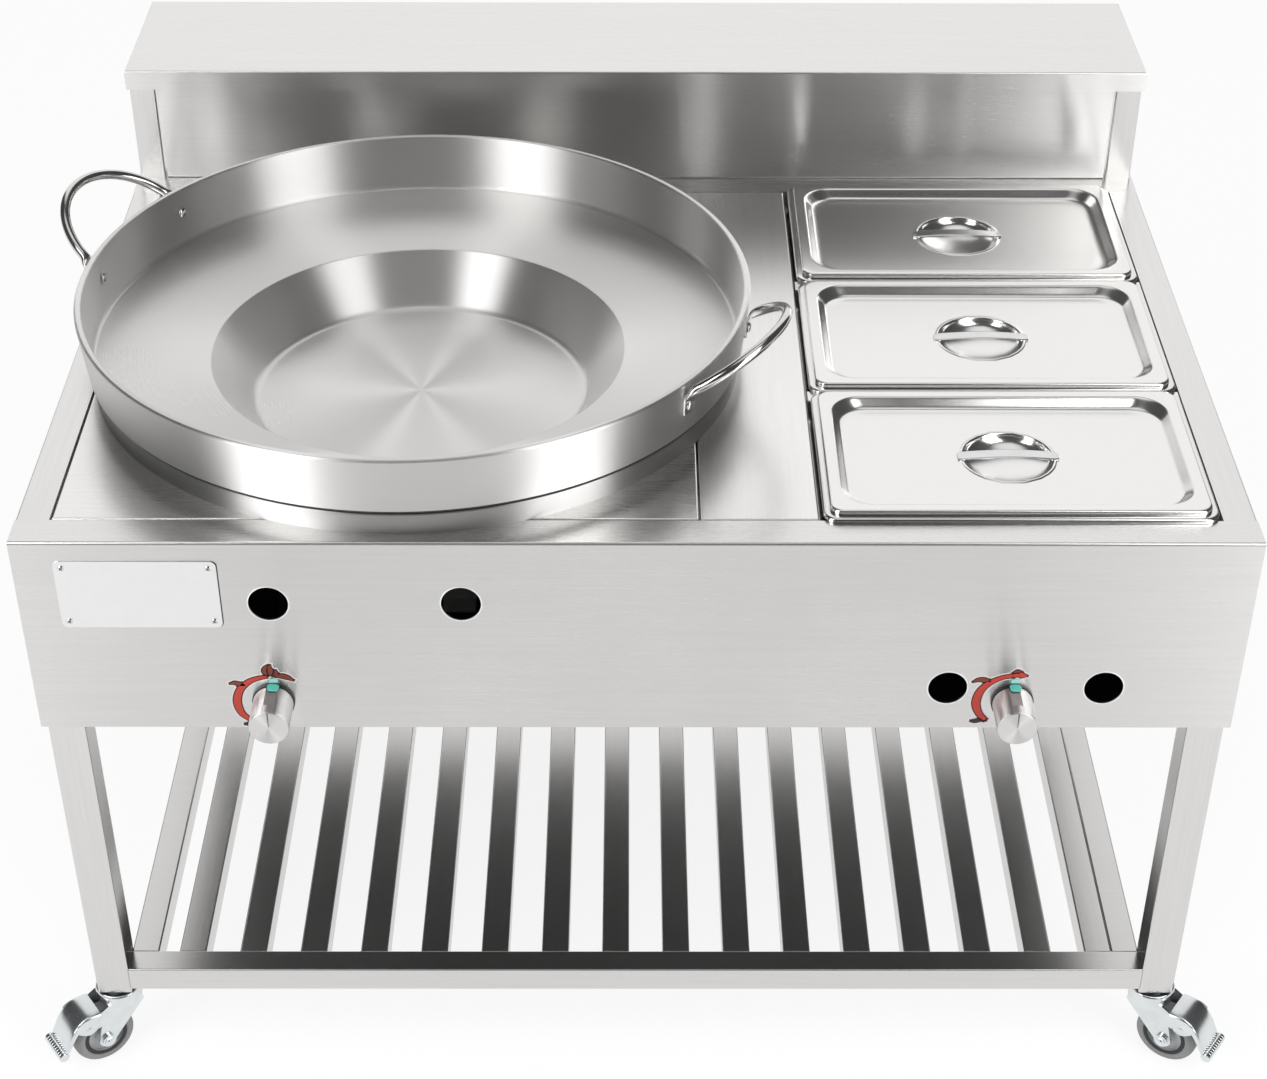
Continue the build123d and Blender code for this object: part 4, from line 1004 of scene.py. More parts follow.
@dataclass
class Pans:
    """The three pans: rolled rim, tapered well and rounded floor."""

    finishes: Finishes
    length: float = 325.0
    width: float = 200.7
    corner: float = 12.0
    lip: float = 4.0
    sheet: float = 0.8
    rim: tuple[float, float] = (14.0, 16.0)
    well_corner: float = 30.0
    taper: float = 9.0
    depth: float = 65.0
    floor_radius: float = 10.0
    rim_z: float = 600.3

    def _steps(self) -> list[tuple[float, float, float, float]]:
        """Insets along X and Y, height and corner radius, from the lip to the floor.

        Returns:
            The steps.
        """
        edge = ((0.0, -self.lip), (0.0, -2.6), (0.2, -1.5), (0.75, -0.65))
        edge += ((1.6, -0.15), (2.8, 0.0), (4.2, 0.0))
        steps = [(inset, inset, z, self.corner + inset * 0.4) for inset, z in edge]
        end, side = self.rim
        for inset, z in ((-1.9, 0.0), (-0.9, -0.1), (-0.25, -0.6), (0.05, -1.5), (0.25, -2.8)):
            steps.append((end + inset, side + inset, z, self.well_corner))
        floor_start = self.depth - self.floor_radius
        for z in (-8.0, -30.0, -floor_start + 3.0):
            inset = self.taper * -z / self.depth
            steps.append((end + inset, side + inset, z, self.well_corner - inset))
        wall = self.taper * floor_start / self.depth
        for i in range(7):
            angle = math.pi / 2 * i / 6
            inset = wall + self.floor_radius * (1 - math.cos(angle))
            z = -floor_start - (self.floor_radius - self.sheet) * math.sin(angle)
            steps.append((end + inset, side + inset, z, self.well_corner - inset))
        inset = wall + self.floor_radius + 3.0
        steps.append((end + inset, side + inset, self.sheet - self.depth, self.well_corner - inset + 2.0))
        return steps

    def _skin(self, drop: float) -> list[list[Point]]:
        """Rings of the upper skin, or of the lower one under it.

        Args:
            drop: distance under the upper skin.

        Returns:
            The rings, from the lip to the floor.
        """
        rings = []
        for along, across, z, corner in self._steps():
            if drop and min(along, across) < drop:
                along = across = drop
            grow = drop if z < -2.9 and along > drop else 0.0
            low = z if z == -self.lip else z - (0.0 if grow and z > -50.0 else drop)
            size = (self.length - 2 * (along - grow), self.width - 2 * (across - grow))
            rings.append(rounded_ring(*size, max(corner, 4.0), low))
        return rings

    def build(self) -> None:
        """Make the pans."""
        shell = Shape().loft(list(reversed(self._skin(self.sheet))) + self._skin(0.0), caps=True)
        for row, setback in PAN_SETBACKS:
            place = at(PAN_X, FRONT_Y + setback, self.rim_z)
            pan = shell.moved(place).piece(
                f"pan_{row}_pressing", self.finishes["pan_steel"], f"pan_{row}", "pan_steel", 60.0
            )
            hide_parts(f"pan_{row}")


@dataclass(frozen=True)
class Dish:
    """Sizes of the comal's dish: radius and height above the worktop."""

    floor: tuple[float, float] = (151.0, -38.5)
    well_edge: tuple[float, float] = (186.0, 7.1)
    wall_foot: tuple[float, float] = (289.0, 22.0)
    rim_inner: float = 291.5
    rim_outer: float = 298.0
    rim_height: float = 75.2
    skin_foot: tuple[float, float] = (292.4, 23.5)
    sheet: float = 1.5

    def skin_radius(self, height: float) -> float:
        """Outer radius of the doubled wall at a height."""
        radius, foot = self.skin_foot
        return radius + (height - foot) / (self.rim_height - foot) * (self.rim_outer - radius)


@dataclass
class ComalPressing:
    """The spun dish with its doubled wall, rounded rim, sloping shelf and well, and the ring under it."""

    finishes: Finishes
    dish: Dish = Dish()
    turns: int = 320
    underside: float = -0.2  # faces whose normals point lower get the near-black finish: painted shade of the gap over the stand ring, and heat discolouring

    def _profile(self) -> list[tuple[float, float]]:
        """Section from the middle of the floor over the rim to the middle of the underside.

        Returns:
            The points.
        """
        dish = self.dish
        corners = [
            (0.0, dish.floor[1], 0.0),
            (*dish.floor, 12.0),
            (*dish.well_edge, 2.6),
            (*dish.wall_foot, 5.0),
            (dish.rim_inner, dish.rim_height, 2.0),
            (dish.rim_outer, dish.rim_height, 2.4),
            (*dish.skin_foot, 0.35),
            (dish.skin_foot[0] - dish.sheet, dish.skin_foot[1], 0.2),
            (dish.wall_foot[0] + 1.2, dish.wall_foot[1] - dish.sheet + 0.2, 0.4),
            (dish.well_edge[0] - 0.7, dish.well_edge[1] - dish.sheet, 1.2),
            (dish.floor[0] - 0.9, dish.floor[1] - dish.sheet, 13.0),
            (0.0, dish.floor[1] - dish.sheet, 0.0),
        ]
        return filleted(corners)

    def build(self) -> None:
        """Make the dish, dark underneath with painted shade and heat discolouring, and its stand ring."""
        centre = at(*COMAL_CENTRE, WORKTOP_Z)
        dish = lathe(self._profile(), self.turns).moved(centre)
        made = dish.piece("comal_pressing", self.finishes["comal_steel"], "comal", "comal_steel", 40.0)
        # downward-facing faces take the near-black finish: painted shade, and heat discolouring
        made.data.materials.append(self.finishes["heated_steel"])
        for face in made.data.polygons:
            face.material_index = int(face.normal.z < self.underside)
        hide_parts("comal")
        ring = [(289.0, 0.0), (289.0, 17.0), (288.75, 18.0), (288.2, 18.6), (287.4, 18.95), (286.0, 19.02)]
        ring += [(281.0, 19.02), (281.0, 17.5), (286.4, 17.5), (287.2, 17.2), (287.5, 16.4), (287.5, 0.0)]
        stand = lathe([*ring, ring[0]], self.turns).moved(centre)
        made = stand.piece("comal_stand_ring", self.finishes["ring_steel"], "root", "top_steel", 40.0)
        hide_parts("comal_ring")


@dataclass
class ComalFittings:
    """Rod handles with flattened feet, and their rivets."""

    finishes: Finishes
    dish: Dish = Dish()
    azimuths: tuple[tuple[str, float], ...] = (("left", 157.6), ("right", -22.4))
    spread: float = 13.75
    reach: float = 66.6
    tilt: float = 35.5
    base_height: float = 64.7
    rod: float = 4.5
    foot_half_width: float = 7.0
    foot_half_sheet: float = 1.3
    rivet_height: float = 53.0
    rivet_seats: tuple[float, float] = (2.72, -6.55)
    loop_trim: float = 0.13  # radians left free at each end of the loop
    flat_run: float = 15.0  # length of a flat foot
    blend_run: float = 18.0  # length over which it turns round

    def _line(self) -> list[Vector]:
        """Centre line from one foot round the loop to the other, at azimuth 0.

        Returns:
            The points, in order.
        """
        spread = math.radians(self.spread)
        base = self.dish.rim_outer * math.cos(spread)
        half = self.dish.rim_outer * math.sin(spread)
        tilt = math.radians(self.tilt)
        centre = (self.reach**2 - half**2) / (2 * self.reach)
        radius = self.reach - centre
        foot = []
        for height, out in ((44.5, 0.0), (50.0, 0.0), (56.0, 0.0), (61.5, 0.4), (65.6, 3.6)):
            r = self.dish.skin_radius(height) + self.foot_half_sheet + 0.06 + out
            foot.append(Vector((r * math.cos(-spread), r * math.sin(-spread), height)))
        loop = []
        first, steps = math.atan2(-half, -centre), 16
        for i in range(steps + 1):
            angle = first + self.loop_trim + i * 2 * (abs(first) - self.loop_trim) / steps
            u, v = centre + radius * math.cos(angle), radius * math.sin(angle)
            loop.append(Vector((base + u * math.cos(tilt), v, self.base_height + u * math.sin(tilt))))
        other = [Vector((p.x, -p.y, p.z)) for p in reversed(foot)]
        return smooth_line(foot + loop + other, 5)

    def _handle(self) -> Shape:
        """Sweep a section that is flat on the feet and round on the loop.

        Returns:
            The handle at azimuth 0, about the comal's axis.
        """
        line = self._line()
        spread = math.radians(self.spread)
        side = Vector((-math.sin(-spread), math.cos(-spread), 0))
        frames = []
        for before, after in zip(line[:1] + line, line[1:] + line[-1:]):
            tangent = (after - before).normalized()
            side = (side - side.dot(tangent) * tangent).normalized()
            frames.append((side.copy(), tangent.cross(side)))
        wanted = Vector((-math.sin(spread), math.cos(spread), 0))
        last_side, last_up = frames[-1]
        twist = math.atan2(wanted.dot(last_up), wanted.dot(last_side))
        lengths = [0.0]
        for a, b in zip(line, line[1:]):
            lengths.append(lengths[-1] + (b - a).length)
        total, count = lengths[-1], 24
        rings = []
        for point, (across, up), run in zip(line, frames, lengths):
            turn = twist * run / total
            a = across * math.cos(turn) + up * math.sin(turn)
            b = up * math.cos(turn) - across * math.sin(turn)
            near = min(run, total - run)
            round_share = min(1.0, max(0.0, (near - self.flat_run) / self.blend_run))
            round_share = round_share * round_share * (3 - 2 * round_share)
            half_w = self.foot_half_width + (self.rod - self.foot_half_width) * round_share
            half_t = self.foot_half_sheet + (self.rod - self.foot_half_sheet) * round_share
            half_w *= 0.72 + 0.28 * min(1.0, near / 4.0)
            power = 2 / (2 + 2.4 * (1 - round_share))
            ring = []
            for k in range(count):
                angle = 2 * math.pi * k / count
                c, s = math.cos(angle), math.sin(angle)
                w = half_w * math.copysign(abs(c) ** power, c)
                t = half_t * math.copysign(abs(s) ** power, s)
                ring.append(tuple(point + a * w + b * t))
            rings.append(ring)
        return Shape().loft(rings, caps=True)

    def _rivet(self) -> Shape:
        """Domed outer and inner heads of one rivet and its shank, its axis along +Z, skin at 0.

        Returns:
            The rivet.
        """
        dome = [(4.6, 0.0), (4.55, 0.5), (4.2, 1.05), (3.5, 1.55), (2.5, 1.95), (1.3, 2.15), (0.0, 2.2)]
        head = lathe([(0.0, 0.0), *dome], 28)
        outer, inner = (at(0, 0, seat) for seat in self.rivet_seats)
        shank = lathe([(0.0, -7.0), (2.4, -7.0), (2.4, 3.0), (0.0, 3.0)], 20)
        return head.moved(outer).join(head.moved(inner @ Matrix.Rotation(math.pi, 4, "X"))).join(shank)

    def build(self) -> None:
        """Make both handles and the rivets."""
        centre = at(*COMAL_CENTRE, WORKTOP_Z)
        handle, rivet = self._handle(), self._rivet()
        radius, foot = self.dish.skin_foot
        lean = math.atan2(self.dish.rim_outer - radius, self.dish.rim_height - foot)
        rivets = Shape()
        for side, azimuth in self.azimuths:
            turned = centre @ turn_about("Z", azimuth)
            made = handle.moved(turned).piece(
                f"handle_{side}_rod", self.finishes["handle_steel"], "comal", "handle_steel", 50.0
            )
            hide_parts(f"comal_handle_{side}")
            for spread in (-self.spread, self.spread):
                place = centre @ turn_about("Z", azimuth + spread)
                out = at(self.dish.skin_radius(self.rivet_height), 0, self.rivet_height)
                rivets.join(rivet.moved(place @ out @ Matrix.Rotation(math.pi / 2 + lean, 4, "Y")))
        made = rivets.piece("handle_rivets", self.finishes["handle_steel"], "comal", "handle_steel", 50.0)
        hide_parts("comal_rivets")


class Ink(Enum):
    """Ink of a stroke, as the name of its finish."""

    RED = "red_ink"
    RUST = "rust_ink"
    DARK = "dark_ink"


@dataclass(frozen=True)
class Motif:
    """One tapered stroke of a knob's artwork: X, Z and width at points round the knob's axis."""

    ink: Ink
    points: Stroke

    def line(self) -> tuple[list[tuple[float, float]], list[float]]:
        """Fine centre line and widths.

        Returns:
            The points and their widths.
        """
        fine = smooth_line([Vector(point) for point in self.points], 6)
        return [(point.x, point.y) for point in fine], [max(point.z, 0.15) for point in fine]


@dataclass
class KnobArtwork:
    """Red arcs printed round the knobs and the teal zero marks."""

    finishes: Finishes
    layer: float = 0.12
    tab: Stroke = (
        (-8.8, 7.0, 0.1), (-8.5, 10.0, 0.4), (-7.8, 13.5, 0.7), (-6.2, 16.0, 0.9), (-4.4, 16.5, 1.2),
        (-3.5, 16.5, 1.4), (-3.2, 16.5, 1.5), (-1.6, 15.0, 1.5), (-0.7, 12.0, 1.3),
    )
    tab_turn: float = 86.0  # direction of the tab's middle, in degrees
    tab_seat: float = 16.6  # its inner radius on the knob
    bezel_face: float = -3.3  # from here on it lies over the bezel
    bezel_clear: tuple[float, float] = (18.15, 18.12)  # least outer radius and inner radius there
    halo: float = 1.9
    outline: float = 1.0

    @staticmethod
    def _arc(stops: Stroke) -> Motif:
        """A red stroke round the knob.

        Args:
            stops: angle in degrees, radius and width at each point.

        Returns:
            The stroke.
        """
        points = []
        for angle, radius, width in stops:
            turn = math.radians(angle)
            points.append((radius * math.cos(turn), radius * math.sin(turn), width))
        return Motif(Ink.RED, tuple(points))

    def _motifs(self, side: str) -> list[Motif]:
        """The strokes round one knob.

        Args:
            side: left or right.

        Returns:
            The strokes.
        """
        if side == "left":
            arc = ((224, 30.0, 3.0), (205, 31.4, 5.2), (182, 31.0, 6.2), (158, 29.8, 5.6))
            arc += ((136, 28.0, 4.4), (116, 26.4, 3.4), (98, 25.4, 1.8))
            drawn = (
                (Ink.RUST, ((-35.5, 18.0, 0.8), (-31.5, 18.8, 3.2), (-27.0, 17.4, 3.8), (-22.5, 16.4, 1.2))),
                (Ink.RUST, ((-3.6, 27.0, 0.8), (-5.4, 30.6, 3.6), (-4.6, 34.4, 3.0), (-2.6, 37.0, 0.8))),
                (Ink.RUST, ((-0.6, 26.6, 0.8), (-0.2, 31.0, 4.0), (-0.8, 35.0, 3.2), (-0.2, 38.0, 0.8))),
                (Ink.RUST, ((1.6, 26.6, 0.8), (4.4, 28.8, 3.0), (4.0, 32.4, 1.0))),
                (Ink.RUST, ((3.4, 25.6, 1.2), (8.6, 26.2, 4.2), (14.0, 24.4, 3.8), (18.6, 21.6, 0.8))),
                (Ink.DARK, ((-22.5, -24.0, 1.4), (-24.6, -25.6, 2.2), (-27.0, -25.4, 1.0))),
            )
        else:
            arc = ((224, 29.0, 3.2), (206, 30.0, 5.0), (184, 30.4, 6.4), (160, 29.8, 6.0))
            arc += ((138, 28.4, 4.6), (114, 27.2, 3.6), (94, 27.2, 3.4))
            drawn = (
                (Ink.RED, ((-1.6, 27.3, 3.2), (3.6, 27.6, 3.2), (5.0, 27.6, 5.6), (10.6, 26.9, 0.6))),
                (Ink.RUST, ((-35.0, 20.4, 0.8), (-30.4, 22.6, 3.4), (-25.0, 22.6, 4.0), (-19.6, 21.0, 1.2))),
                (Ink.RUST, ((-1.6, 30.4, 0.8), (1.6, 31.8, 2.4), (5.4, 31.0, 0.8))),
                (
                    Ink.DARK,
                    ((-20.0, -21.0, 1.0), (-24.6, -20.6, 2.6), (-29.6, -21.6, 3.2), (-33.4, -21.6, 1.0)),
                ),
            )
        return [self._arc(arc)] + [Motif(ink, points) for ink, points in drawn]

    def _layer(self, motifs: list[Motif], grow: float, level: int) -> Shape:
        """All strokes of one layer.

        Args:
            motifs: the strokes.
            grow: how far outside them it reaches.
            level: its place in the stack, from the panel out.

        Returns:
            The layer, in place about the knob's axis.
        """
        layer = Shape()
        for motif in motifs:
            line, widths = motif.line()
            depth = self.layer * level
            layer.join(ribbon(line, widths, grow, depth).moved(at(0, -depth, 0)))
        return layer

    def _zero_marks(self, side: str, x: float, z: float) -> None:
        """Teal triangle above the bezel and teal tab on the knob's rear rim.

        Args:
            side: left or right.
            x: the knob's axis.
            z: the knob's axis.
        """
        place = at(x, FRONT_Y, z)
        mark = ribbon([(1.4, 19.0), (1.3, 21.0), (1.0, 23.0)], [8.0, 7.6, 5.6], 0.0, self.layer)
        mark.moved(place @ at(0, -self.layer, 0)).piece(
            f"zero_mark_{side}", self.finishes["pale_teal_ink"], "root", "bezel_black"
        )
        rings, steps = [], 12
        for y, spread, rise in self.tab:
            ring = []
            for outer in (True, False):
                order = range(steps + 1) if outer else range(steps, -1, -1)
                for step in order:
                    share = 2 * step / steps - 1
                    turn = math.radians(self.tab_turn + spread * share)
                    crown = rise * (1 - 0.55 * share**4)
                    r = KNOB_RADIUS + crown if outer else self.tab_seat
                    if y > self.bezel_face:
                        r = max(r, self.bezel_clear[0]) if outer else self.bezel_clear[1]
                    ring.append((r * math.cos(turn), y, r * math.sin(turn)))
            rings.append(ring)
        Shape().loft(rings, caps=True).moved(place).piece(
            f"knob_{side}_zero_tab", self.finishes["teal_ink"], f"knob_{side}", "knob_chrome"
        )

    def build(self) -> None:
        """Print the artwork of both knobs."""
        for side, x, z in KNOB_PLACES:
            place = at(x, FRONT_Y, z)
            motifs = self._motifs(side)
            red, rust = ([motif for motif in motifs if motif.ink is ink] for ink in (Ink.RED, Ink.RUST))
            layers = (
                ("halo", motifs, self.halo, 1, "pale_ink"),
                ("outline", motifs, self.outline, 2, Ink.DARK.value),
                ("fill", red, 0.0, 3, Ink.RED.value),
                ("leaves", rust, 0.0, 3, Ink.RUST.value),
            )
            for name, strokes, grow, level, finish in layers:
                self._layer(strokes, grow, level).moved(place).piece(
                    f"knob_art_{side}_{name}", self.finishes[finish], "root", "bezel_black"
                )
            self._zero_marks(side, x, z)


@dataclass
class Knobs:
    """Turned knobs with a slot along the top and a scribed line on the face."""

    finishes: Finishes
    rear_y: float = -399.8
    length: float = 34.5
    slot_half: float = 4.5
    slot_floor: float = 15.4
    slot_length: float = 24.0
    stem: tuple[float, float] = (4.0, 27.4)
    round_steps: int = 72
    slot_steps: int = 8

    def _ring(self, along: float, slotted: bool, inset: float = 0.0) -> list[Point]:
        """Points round the knob at one station.

        Args:
            along: distance from the rear face.
            slotted: whether the slot is cut here.
            inset: how far the ring lies inside the knob's radius.

        Returns:
            The points.
        """
        radius = KNOB_RADIUS - inset
        start = math.acos(-self.slot_half / KNOB_RADIUS)
        sweep = 2 * math.pi - 2 * (start - math.pi / 2)
        ring = []
        for i in range(self.round_steps + 1):
            turn = start + sweep * i / self.round_steps
            ring.append((radius * math.cos(turn), radius * math.sin(turn), along))
        for i in range(self.slot_steps + 1):
            across = self.slot_half * (1 - 2 * i / self.slot_steps) * radius / KNOB_RADIUS
            height = self.slot_floor if slotted else math.sqrt(radius**2 - across**2)
            ring.append((across * 0.999, height, along))
        return ring

    def build(self) -> None:
        """Make both knobs with their stems and face lines."""
        cut, end = self.slot_length, self.length
        rings = [self._ring(along, True) for along in (0.0, 0.6, cut - 0.01)]
        rings += [self._ring(along, False) for along in (cut, cut + 1.0)]
        for back, inset in ((1.4, 0.0), (0.9, 0.06), (0.4, 0.35), (0.1, 0.8), (0.0, 1.4), (0.0, 2.2)):
            rings.append(self._ring(end - back, False, inset))
        body = Shape().loft(rings, caps=True)
        radius, rear = self.stem
        body.join(lathe([(0.0, -rear), (radius, -rear), (radius, 0.5), (0.0, 0.5)], 24))
        line = ribbon([(0.0, 1.5), (0.0, 8.0), (0.0, 15.6)], [0.5, 1.0, 1.3], 0.0, 0.1)
        turned, scribed = self.finishes["turned_steel"], self.finishes["scribed_line"]
        for side, x, z in KNOB_PLACES:
            place = at(x, self.rear_y, z) @ TO_FRONT
            made = body.piece(f"knob_{side}_turning", turned, f"knob_{side}", "knob_chrome", 30.0, place)
            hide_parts(f"knob_{side}")
            face = at(x, self.rear_y - end - 0.1, z)
            line.moved(face).piece(f"knob_{side}_line", scribed, f"knob_{side}", "knob_chrome")


@dataclass
class ApronTrim:
    """Raised rims round the lighting holes, in a near-white metal that paints a highlight on them, and a dark
    pad behind the nameplate that paints its shadow.
    """

    finishes: Finishes
    holes: Section = ((-302.8, 535.5), (-144.5, 535.5), (262.4, 448.4), (394.2, 448.4))
    hole_radius: float = 16.5
    painted_shadow_pad: tuple[float, float, float] = (132.9, 65.2, 4.5)
    # how far the dark pad reaches past the plate's right edge, where it paints the plate's shadow
    painted_shadow_shift: float = 0.45

    def build(self) -> None:
        """Make the hole rims with their painted highlight and the dark pad that paints the nameplate's
        shadow.
        """
        profile = ((0.0, -0.6), (0.0, 0.1), (0.3, 0.2), (0.7, 0.16), (1.0, 0.0), (0.5, -0.6), (0.0, -0.6))
        edge = lathe([(self.hole_radius + out, rise) for out, rise in profile], 64)
        edges = Shape()
        for x, z in self.holes:
            edges.join(edge.moved(at(x, FRONT_Y, z) @ TO_FRONT))
        # near-white rims: painted highlight round the holes
        edges.piece("lighting_hole_edges", self.finishes["cut_edge"], "root", "panel_steel")
        x, z = NAMEPLATE_CENTRE
        # dark pad behind the nameplate; the part past its right edge is a painted shadow
        rings = [rounded_ring(*self.painted_shadow_pad, depth) for depth in (0.0, 0.2, 0.75)]
        place = at(x + self.painted_shadow_shift, FRONT_Y, z) @ TO_FRONT
        painted_shadow_pad = Shape().loft(rings, caps=True).moved(place)
        painted_shadow_pad.piece("nameplate_backing", self.finishes["bezel_black"], "root", "nameplate_metal")


@dataclass
class NameplateScrews:
    """Four small pan-head screws, with dark crossed bars on the heads that paint the shade of their recesses.
    """

    finishes: Finishes
    plate: tuple[float, float] = (132.3, 66.0)
    inset: float = 6.5
    radius: float = 2.6
    height: float = 1.1
    turn: float = 35.0
    profile: Section = ((0.0, 0.0), (1.0, 0.0), (1.0, 0.35), (0.85, 0.75), (0.5, 1.0), (0.0, 1.0))

    def build(self) -> None:
        """Make the heads and the dark bars that paint the recesses' shade."""
        heads, recess_shades = Shape(), Shape()
        head = lathe([(self.radius * out, self.height * rise) for out, rise in self.profile], 24)
        # a flat dark bar laid on the head: painted shade of one arm of the crossed recess
        bar = ribbon([(-1.5, 0.0), (0.0, 0.0), (1.5, 0.0)], [0.6, 0.75, 0.6], 0.0, 0.2)
        lift = at(0, -self.height - 0.1, 0)
        across, rise = self.plate[0] / 2 - self.inset, self.plate[1] / 2 - self.inset
        x, z = NAMEPLATE_CENTRE
        for sx in (-1, 1):
            for sz in (-1, 1):
                place = at(x + sx * across, FRONT_Y - NAMEPLATE_SHEET, z + sz * rise)
                heads.join(head.moved(place @ TO_FRONT))
                for turn in (self.turn * sx, self.turn * sx + 90.0):
                    recess_shades.join(bar.moved(place @ lift @ turn_about("Y", turn)))
        made = heads.piece("nameplate_screw_heads", self.finishes["screw_steel"], "root", "screw_steel")
        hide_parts("nameplate_screws")
        recess_shades.piece("nameplate_screw_recesses", self.finishes["bezel_black"], "root", "screw_steel")


@dataclass(frozen=True)
class CasterPlace:
    """Where one caster stands and which way it trails."""

    name: str
    x: float
    y: float
    azimuth: float
    braked: bool

    def frame(self) -> Matrix:
        """Transform from the caster's own axes: swivel axis up, trail along X."""
        return at(self.x, self.y, 0) @ turn_about("Z", self.azimuth)


@dataclass
class Casters:
    """Tyres, seal rings, axle nuts, race beads, dust seals and the two brake pedals."""

    finishes: Finishes
    places: tuple[CasterPlace, ...] = (
        CasterPlace("front_left", -487.825, -376.225, 215.0, True),
        CasterPlace("front_right", 487.825, -376.225, -35.0, True),
        CasterPlace("rear_left", -487.825, 263.425, 150.0, False),
        CasterPlace("rear_right", 487.825, 263.425, 30.0, False),
    )
    trail: float = 24.0
    wheel_radius: float = 30.0
    half_width: float = 11.0
    tyre_bore: float = 21.0
    race_top: float = 78.7
    axle_end: float = 18.1
    ear: tuple[float, float] = (15.4, 17.4)
    pivot: tuple[float, float] = (40.0, 53.0)
    bar: tuple[float, float, float] = (69.0, 33.0, 5.0)
    seal: Section = ((17.2, 10.02), (17.5, 10.45), (20.8, 10.45), (20.95, 10.02), (17.2, 10.02))
    nut: Section = ((0.0, 0.0), (4.9, 0.0), (4.9, 1.0), (4.3, 1.5), (0.0, 1.5))
    thread: Section = ((0.0, 0.0), (2.4, 0.0), (2.4, 2.1), (2.0, 2.4), (0.0, 2.4))

    def _about_axle(self, profile: list[tuple[float, float]], count: int = 72) -> Shape:
        """Turn a (radius, distance across) profile about the axle.

        Args:
            profile: the section's points.
            count: steps round.

        Returns:
            The shape in the caster's own axes.
        """
        axle = at(self.trail, 0, self.wheel_radius) @ TO_FRONT
        return lathe(profile, count).moved(axle)

    def _tyre(self) -> Shape:
        """Tyre with raised sidewalls, a shoulder step and a crowned tread."""
        r, w = self.wheel_radius, self.half_width
        shoulder = ((5.4, 0.0), (4.6, 0.35), (3.0, 1.2), (2.5, 1.9), (2.1, 2.0))
        tread = ((1.2, 2.9), (0.55, 4.2), (0.12, 6.2), (0.0, 8.4))
        side = [(self.tyre_bore + out, w - low) for out, low in ((0.0, 1.4), (0.5, 0.3), (1.5, 0.0))]
        side += [(r - inset, w - low) for inset, low in shoulder + tread]
        profile = side + [(radius, -across) for radius, across in reversed(side)]
        return self._about_axle([*profile, profile[0]], 96)

    def _seal_rings(self) -> Shape:
        """Dark rings between the tyre and the wheel disc, one on each side."""
        rings = Shape()
        for side in (-1, 1):
            rings.join(self._about_axle([(radius, side * out) for radius, out in self.seal]))
        return rings

    def _nuts(self) -> Shape:
        """Hexagon nuts with a thread end on both axle heads."""
        nuts = Shape()
        for side in (-1, 1):
            for section, count in ((self.nut, 6), (self.thread, 20)):
                profile = [(radius, side * (self.axle_end + out)) for radius, out in section]
                nuts.join(self._about_axle(profile, count))
        return nuts

    def _race_bead(self) -> Shape:
        """Rolled bead round the swivel race."""
        profile = ((18.7, -0.2), (18.9, 0.35), (19.6, 0.75), (20.5, 0.55), (21.1, -0.4))
        profile += ((21.5, -2.0), (21.5, -3.2), (20.9, -3.2), (18.7, -0.2))
        return lathe([(radius, self.race_top + rise) for radius, rise in profile], 72)

    def _dust_seal(self) -> Shape:
        """Dark seal between the race and the leg's flange."""
        profile = ((15.4, -0.5), (15.4, 0.15), (18.5, 0.15), (18.5, -0.5), (15.4, -0.5))
        return lathe([(radius, self.race_top + rise) for radius, rise in profile], 64)

    def _hood(self) -> Shape:
        """Pressed hood of the pedal: crowned across, with turned-down side lips."""
        spine = [(27.2, 67.4), (34.0, 67.9), (41.0, 67.6), (47.0, 65.6), (52.0, 61.8), (56.4, 56.6)]
        spine += [(60.2, 50.4), (63.4, 44.0), (66.0, 38.6), (67.6, 35.6)]
        line = smooth_line([Vector(point) for point in spine], 4)
        outer, sheet = self.ear[1], 1.5
        lip = ((0.0, -5.0), (0.0, -2.6), (0.4, -1.2), (1.5, -0.35), (3.2, 0.0))
        top = [(-outer + inset, rise) for inset, rise in lip] + [(-9.0, 0.25), (0.0, 0.35)]
        top += [(-across, rise) for across, rise in reversed(top[:-1])]
        shrink = (outer - sheet) / outer
        under = [(across * shrink, min(rise - sheet, -sheet)) for across, rise in reversed(top)]
        rings = []
        last = len(line) - 1
        for i, point in enumerate(line):
            along = (line[min(i + 1, last)] - line[max(i - 1, 0)]).normalized()
            share = i / last
            fade = 1.0 - 0.75 * max(0.0, (share - 0.55) / 0.45)
            ring = []
            for across, rise in top + under:
                lift = rise if rise > -1.6 else -sheet + (rise + sheet) * fade
                ring.append((point.x - along.y * lift, across, point.y + along.x * lift))
            rings.append(ring)
        return Shape().loft(rings, caps=True)

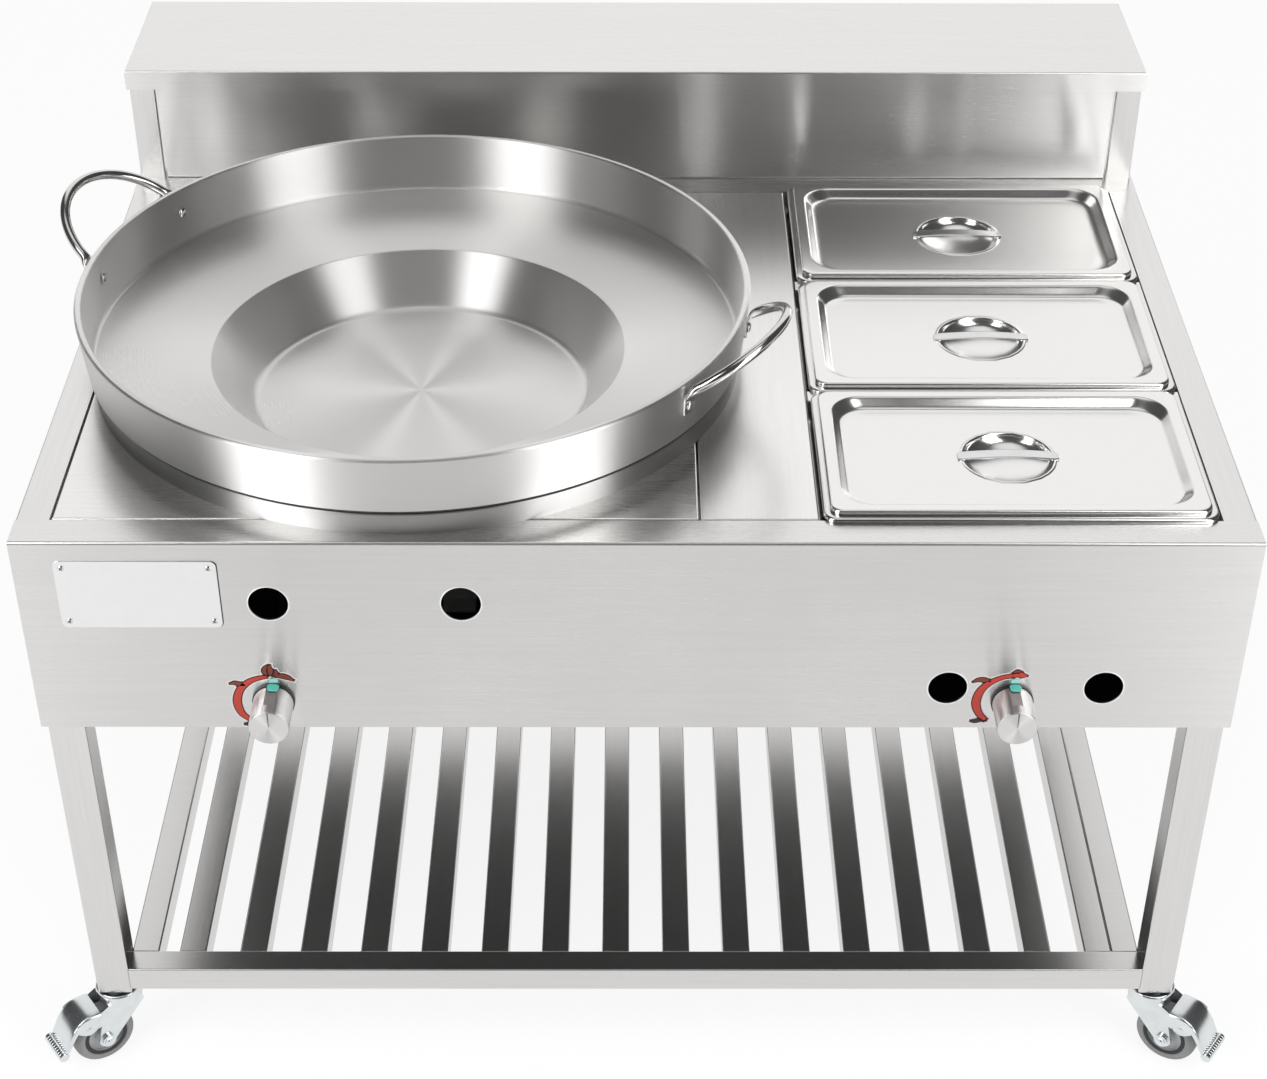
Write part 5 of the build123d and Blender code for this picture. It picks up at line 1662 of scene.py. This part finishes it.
    def _ears(self) -> Shape:
        """Side plates that carry the pedal on its pivot, with the pivot's heads."""
        u, z = self.pivot
        outline = ((-12.6, 13.0), (-9.4, 3.0), (-6.2, -3.6), (0.0, -6.2), (6.4, -4.0))
        outline += ((12.4, 1.8), (12.0, 8.0), (7.0, 11.8), (0.0, 13.4))
        closed = [Vector((u + along, z + rise)) for along, rise in outline]
        fine = smooth_line([*closed, closed[0]], 4)[:-1]
        ears = Shape()
        inner, outer = self.ear
        for side in (-1, 1):
            rings = []
            stations = ((inner, 0.5), (inner + 0.3, 0.0), (outer - 0.4, 0.0), (outer - 0.05, 0.5))
            for across, shrink in stations:
                ring = []
                for point in fine:
                    arm = point - Vector((u, z + 3.0))
                    point = point - arm.normalized() * shrink
                    ring.append((point.x, side * across, point.y))
                rings.append(ring)
            ears.join(Shape().loft(rings, caps=True))
            head = [(0.0, 0.0), (3.2, 0.0), (3.1, 0.45), (2.4, 0.85), (1.2, 1.05), (0.0, 1.1)]
            turn = Matrix.Rotation(-side * math.pi / 2, 4, "X")
            ears.join(lathe(head, 24).moved(at(u, side * (outer - 0.1), z) @ turn))
            stud = [(0.0, 12.7), (2.5, 12.7), (2.5, outer - 0.2), (0.0, outer - 0.2)]
            ears.join(lathe(stud, 20).moved(at(u, 0, z) @ turn))
        return ears

    def _bar(self) -> Shape:
        """Ribbed end bar of the pedal."""
        u, z, radius = self.bar
        half, bevel, ribs = self.ear[1], 0.8, 9
        profile = [(0.0, -half), (radius - bevel, -half), (radius, -half + bevel)]
        span = 2 * half - 4.0
        for i in range(ribs):
            start = -span / 2 + span * i / ribs
            for share, depth in ((0.1, 0.0), (0.22, 0.55), (0.34, 0.75), (0.46, 0.55), (0.58, 0.0)):
                profile.append((radius - depth, start + share * span / ribs))
        profile += [(radius, half - bevel), (radius - bevel, half), (0.0, half)]
        return lathe(profile, 36).moved(at(u, 0, z) @ TO_FRONT)

    def build(self) -> None:
        """Make the details of all four casters."""
        for place in self.places:
            name, stand, finishes = place.name, place.frame(), self.finishes
            tyre = self._tyre().moved(stand).piece(
                f"tyre_{name}_moulding", finishes["tyre_grey"], f"wheel_{name}", "caster_tyre", 50.0
            )
            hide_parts(f"tyre_{name}")
            details = (
                ("seal_rings", self._seal_rings(), "bezel_black", f"wheel_{name}", "caster_hub"),
                ("axle_nuts", self._nuts(), "zinc", f"caster_{name}", "zinc"),
                ("race_bead", self._race_bead(), "zinc", f"caster_{name}", "zinc"),
                ("dust_seal", self._dust_seal(), "bezel_black", f"caster_{name}", "zinc"),
            )
            for detail, shape, finish, body, slot in details:
                shape.moved(stand).piece(f"caster_{name}_{detail}", finishes[finish], body, slot, 40.0)
            if place.braked:
                pedal = self._hood().join(self._ears()).join(self._bar()).moved(stand)
                made = pedal.piece(f"pedal_{name}_pressing", finishes["zinc"], f"pedal_{name}", "zinc", 40.0)
                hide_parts(f"pedal_{name}")


def main() -> None:
    """Build the studio, then each sub-assembly, and report them."""
    logging.basicConfig(level=logging.INFO, format="%(name)s %(message)s")
    Studio().build()
    finishes = Finishes()
    log.info("dressed %d CAD nodes", FramePieces(finishes).dress())
    Pans(finishes).build()
    Lids(finishes).build()
    ComalPressing(finishes).build()
    ComalFittings(finishes).build()
    ApronTrim(finishes).build()
    Knobs(finishes).build()
    KnobArtwork(finishes).build()
    NameplateScrews(finishes).build()
    Casters(finishes).build()


if __name__ == "__main__":
    main()
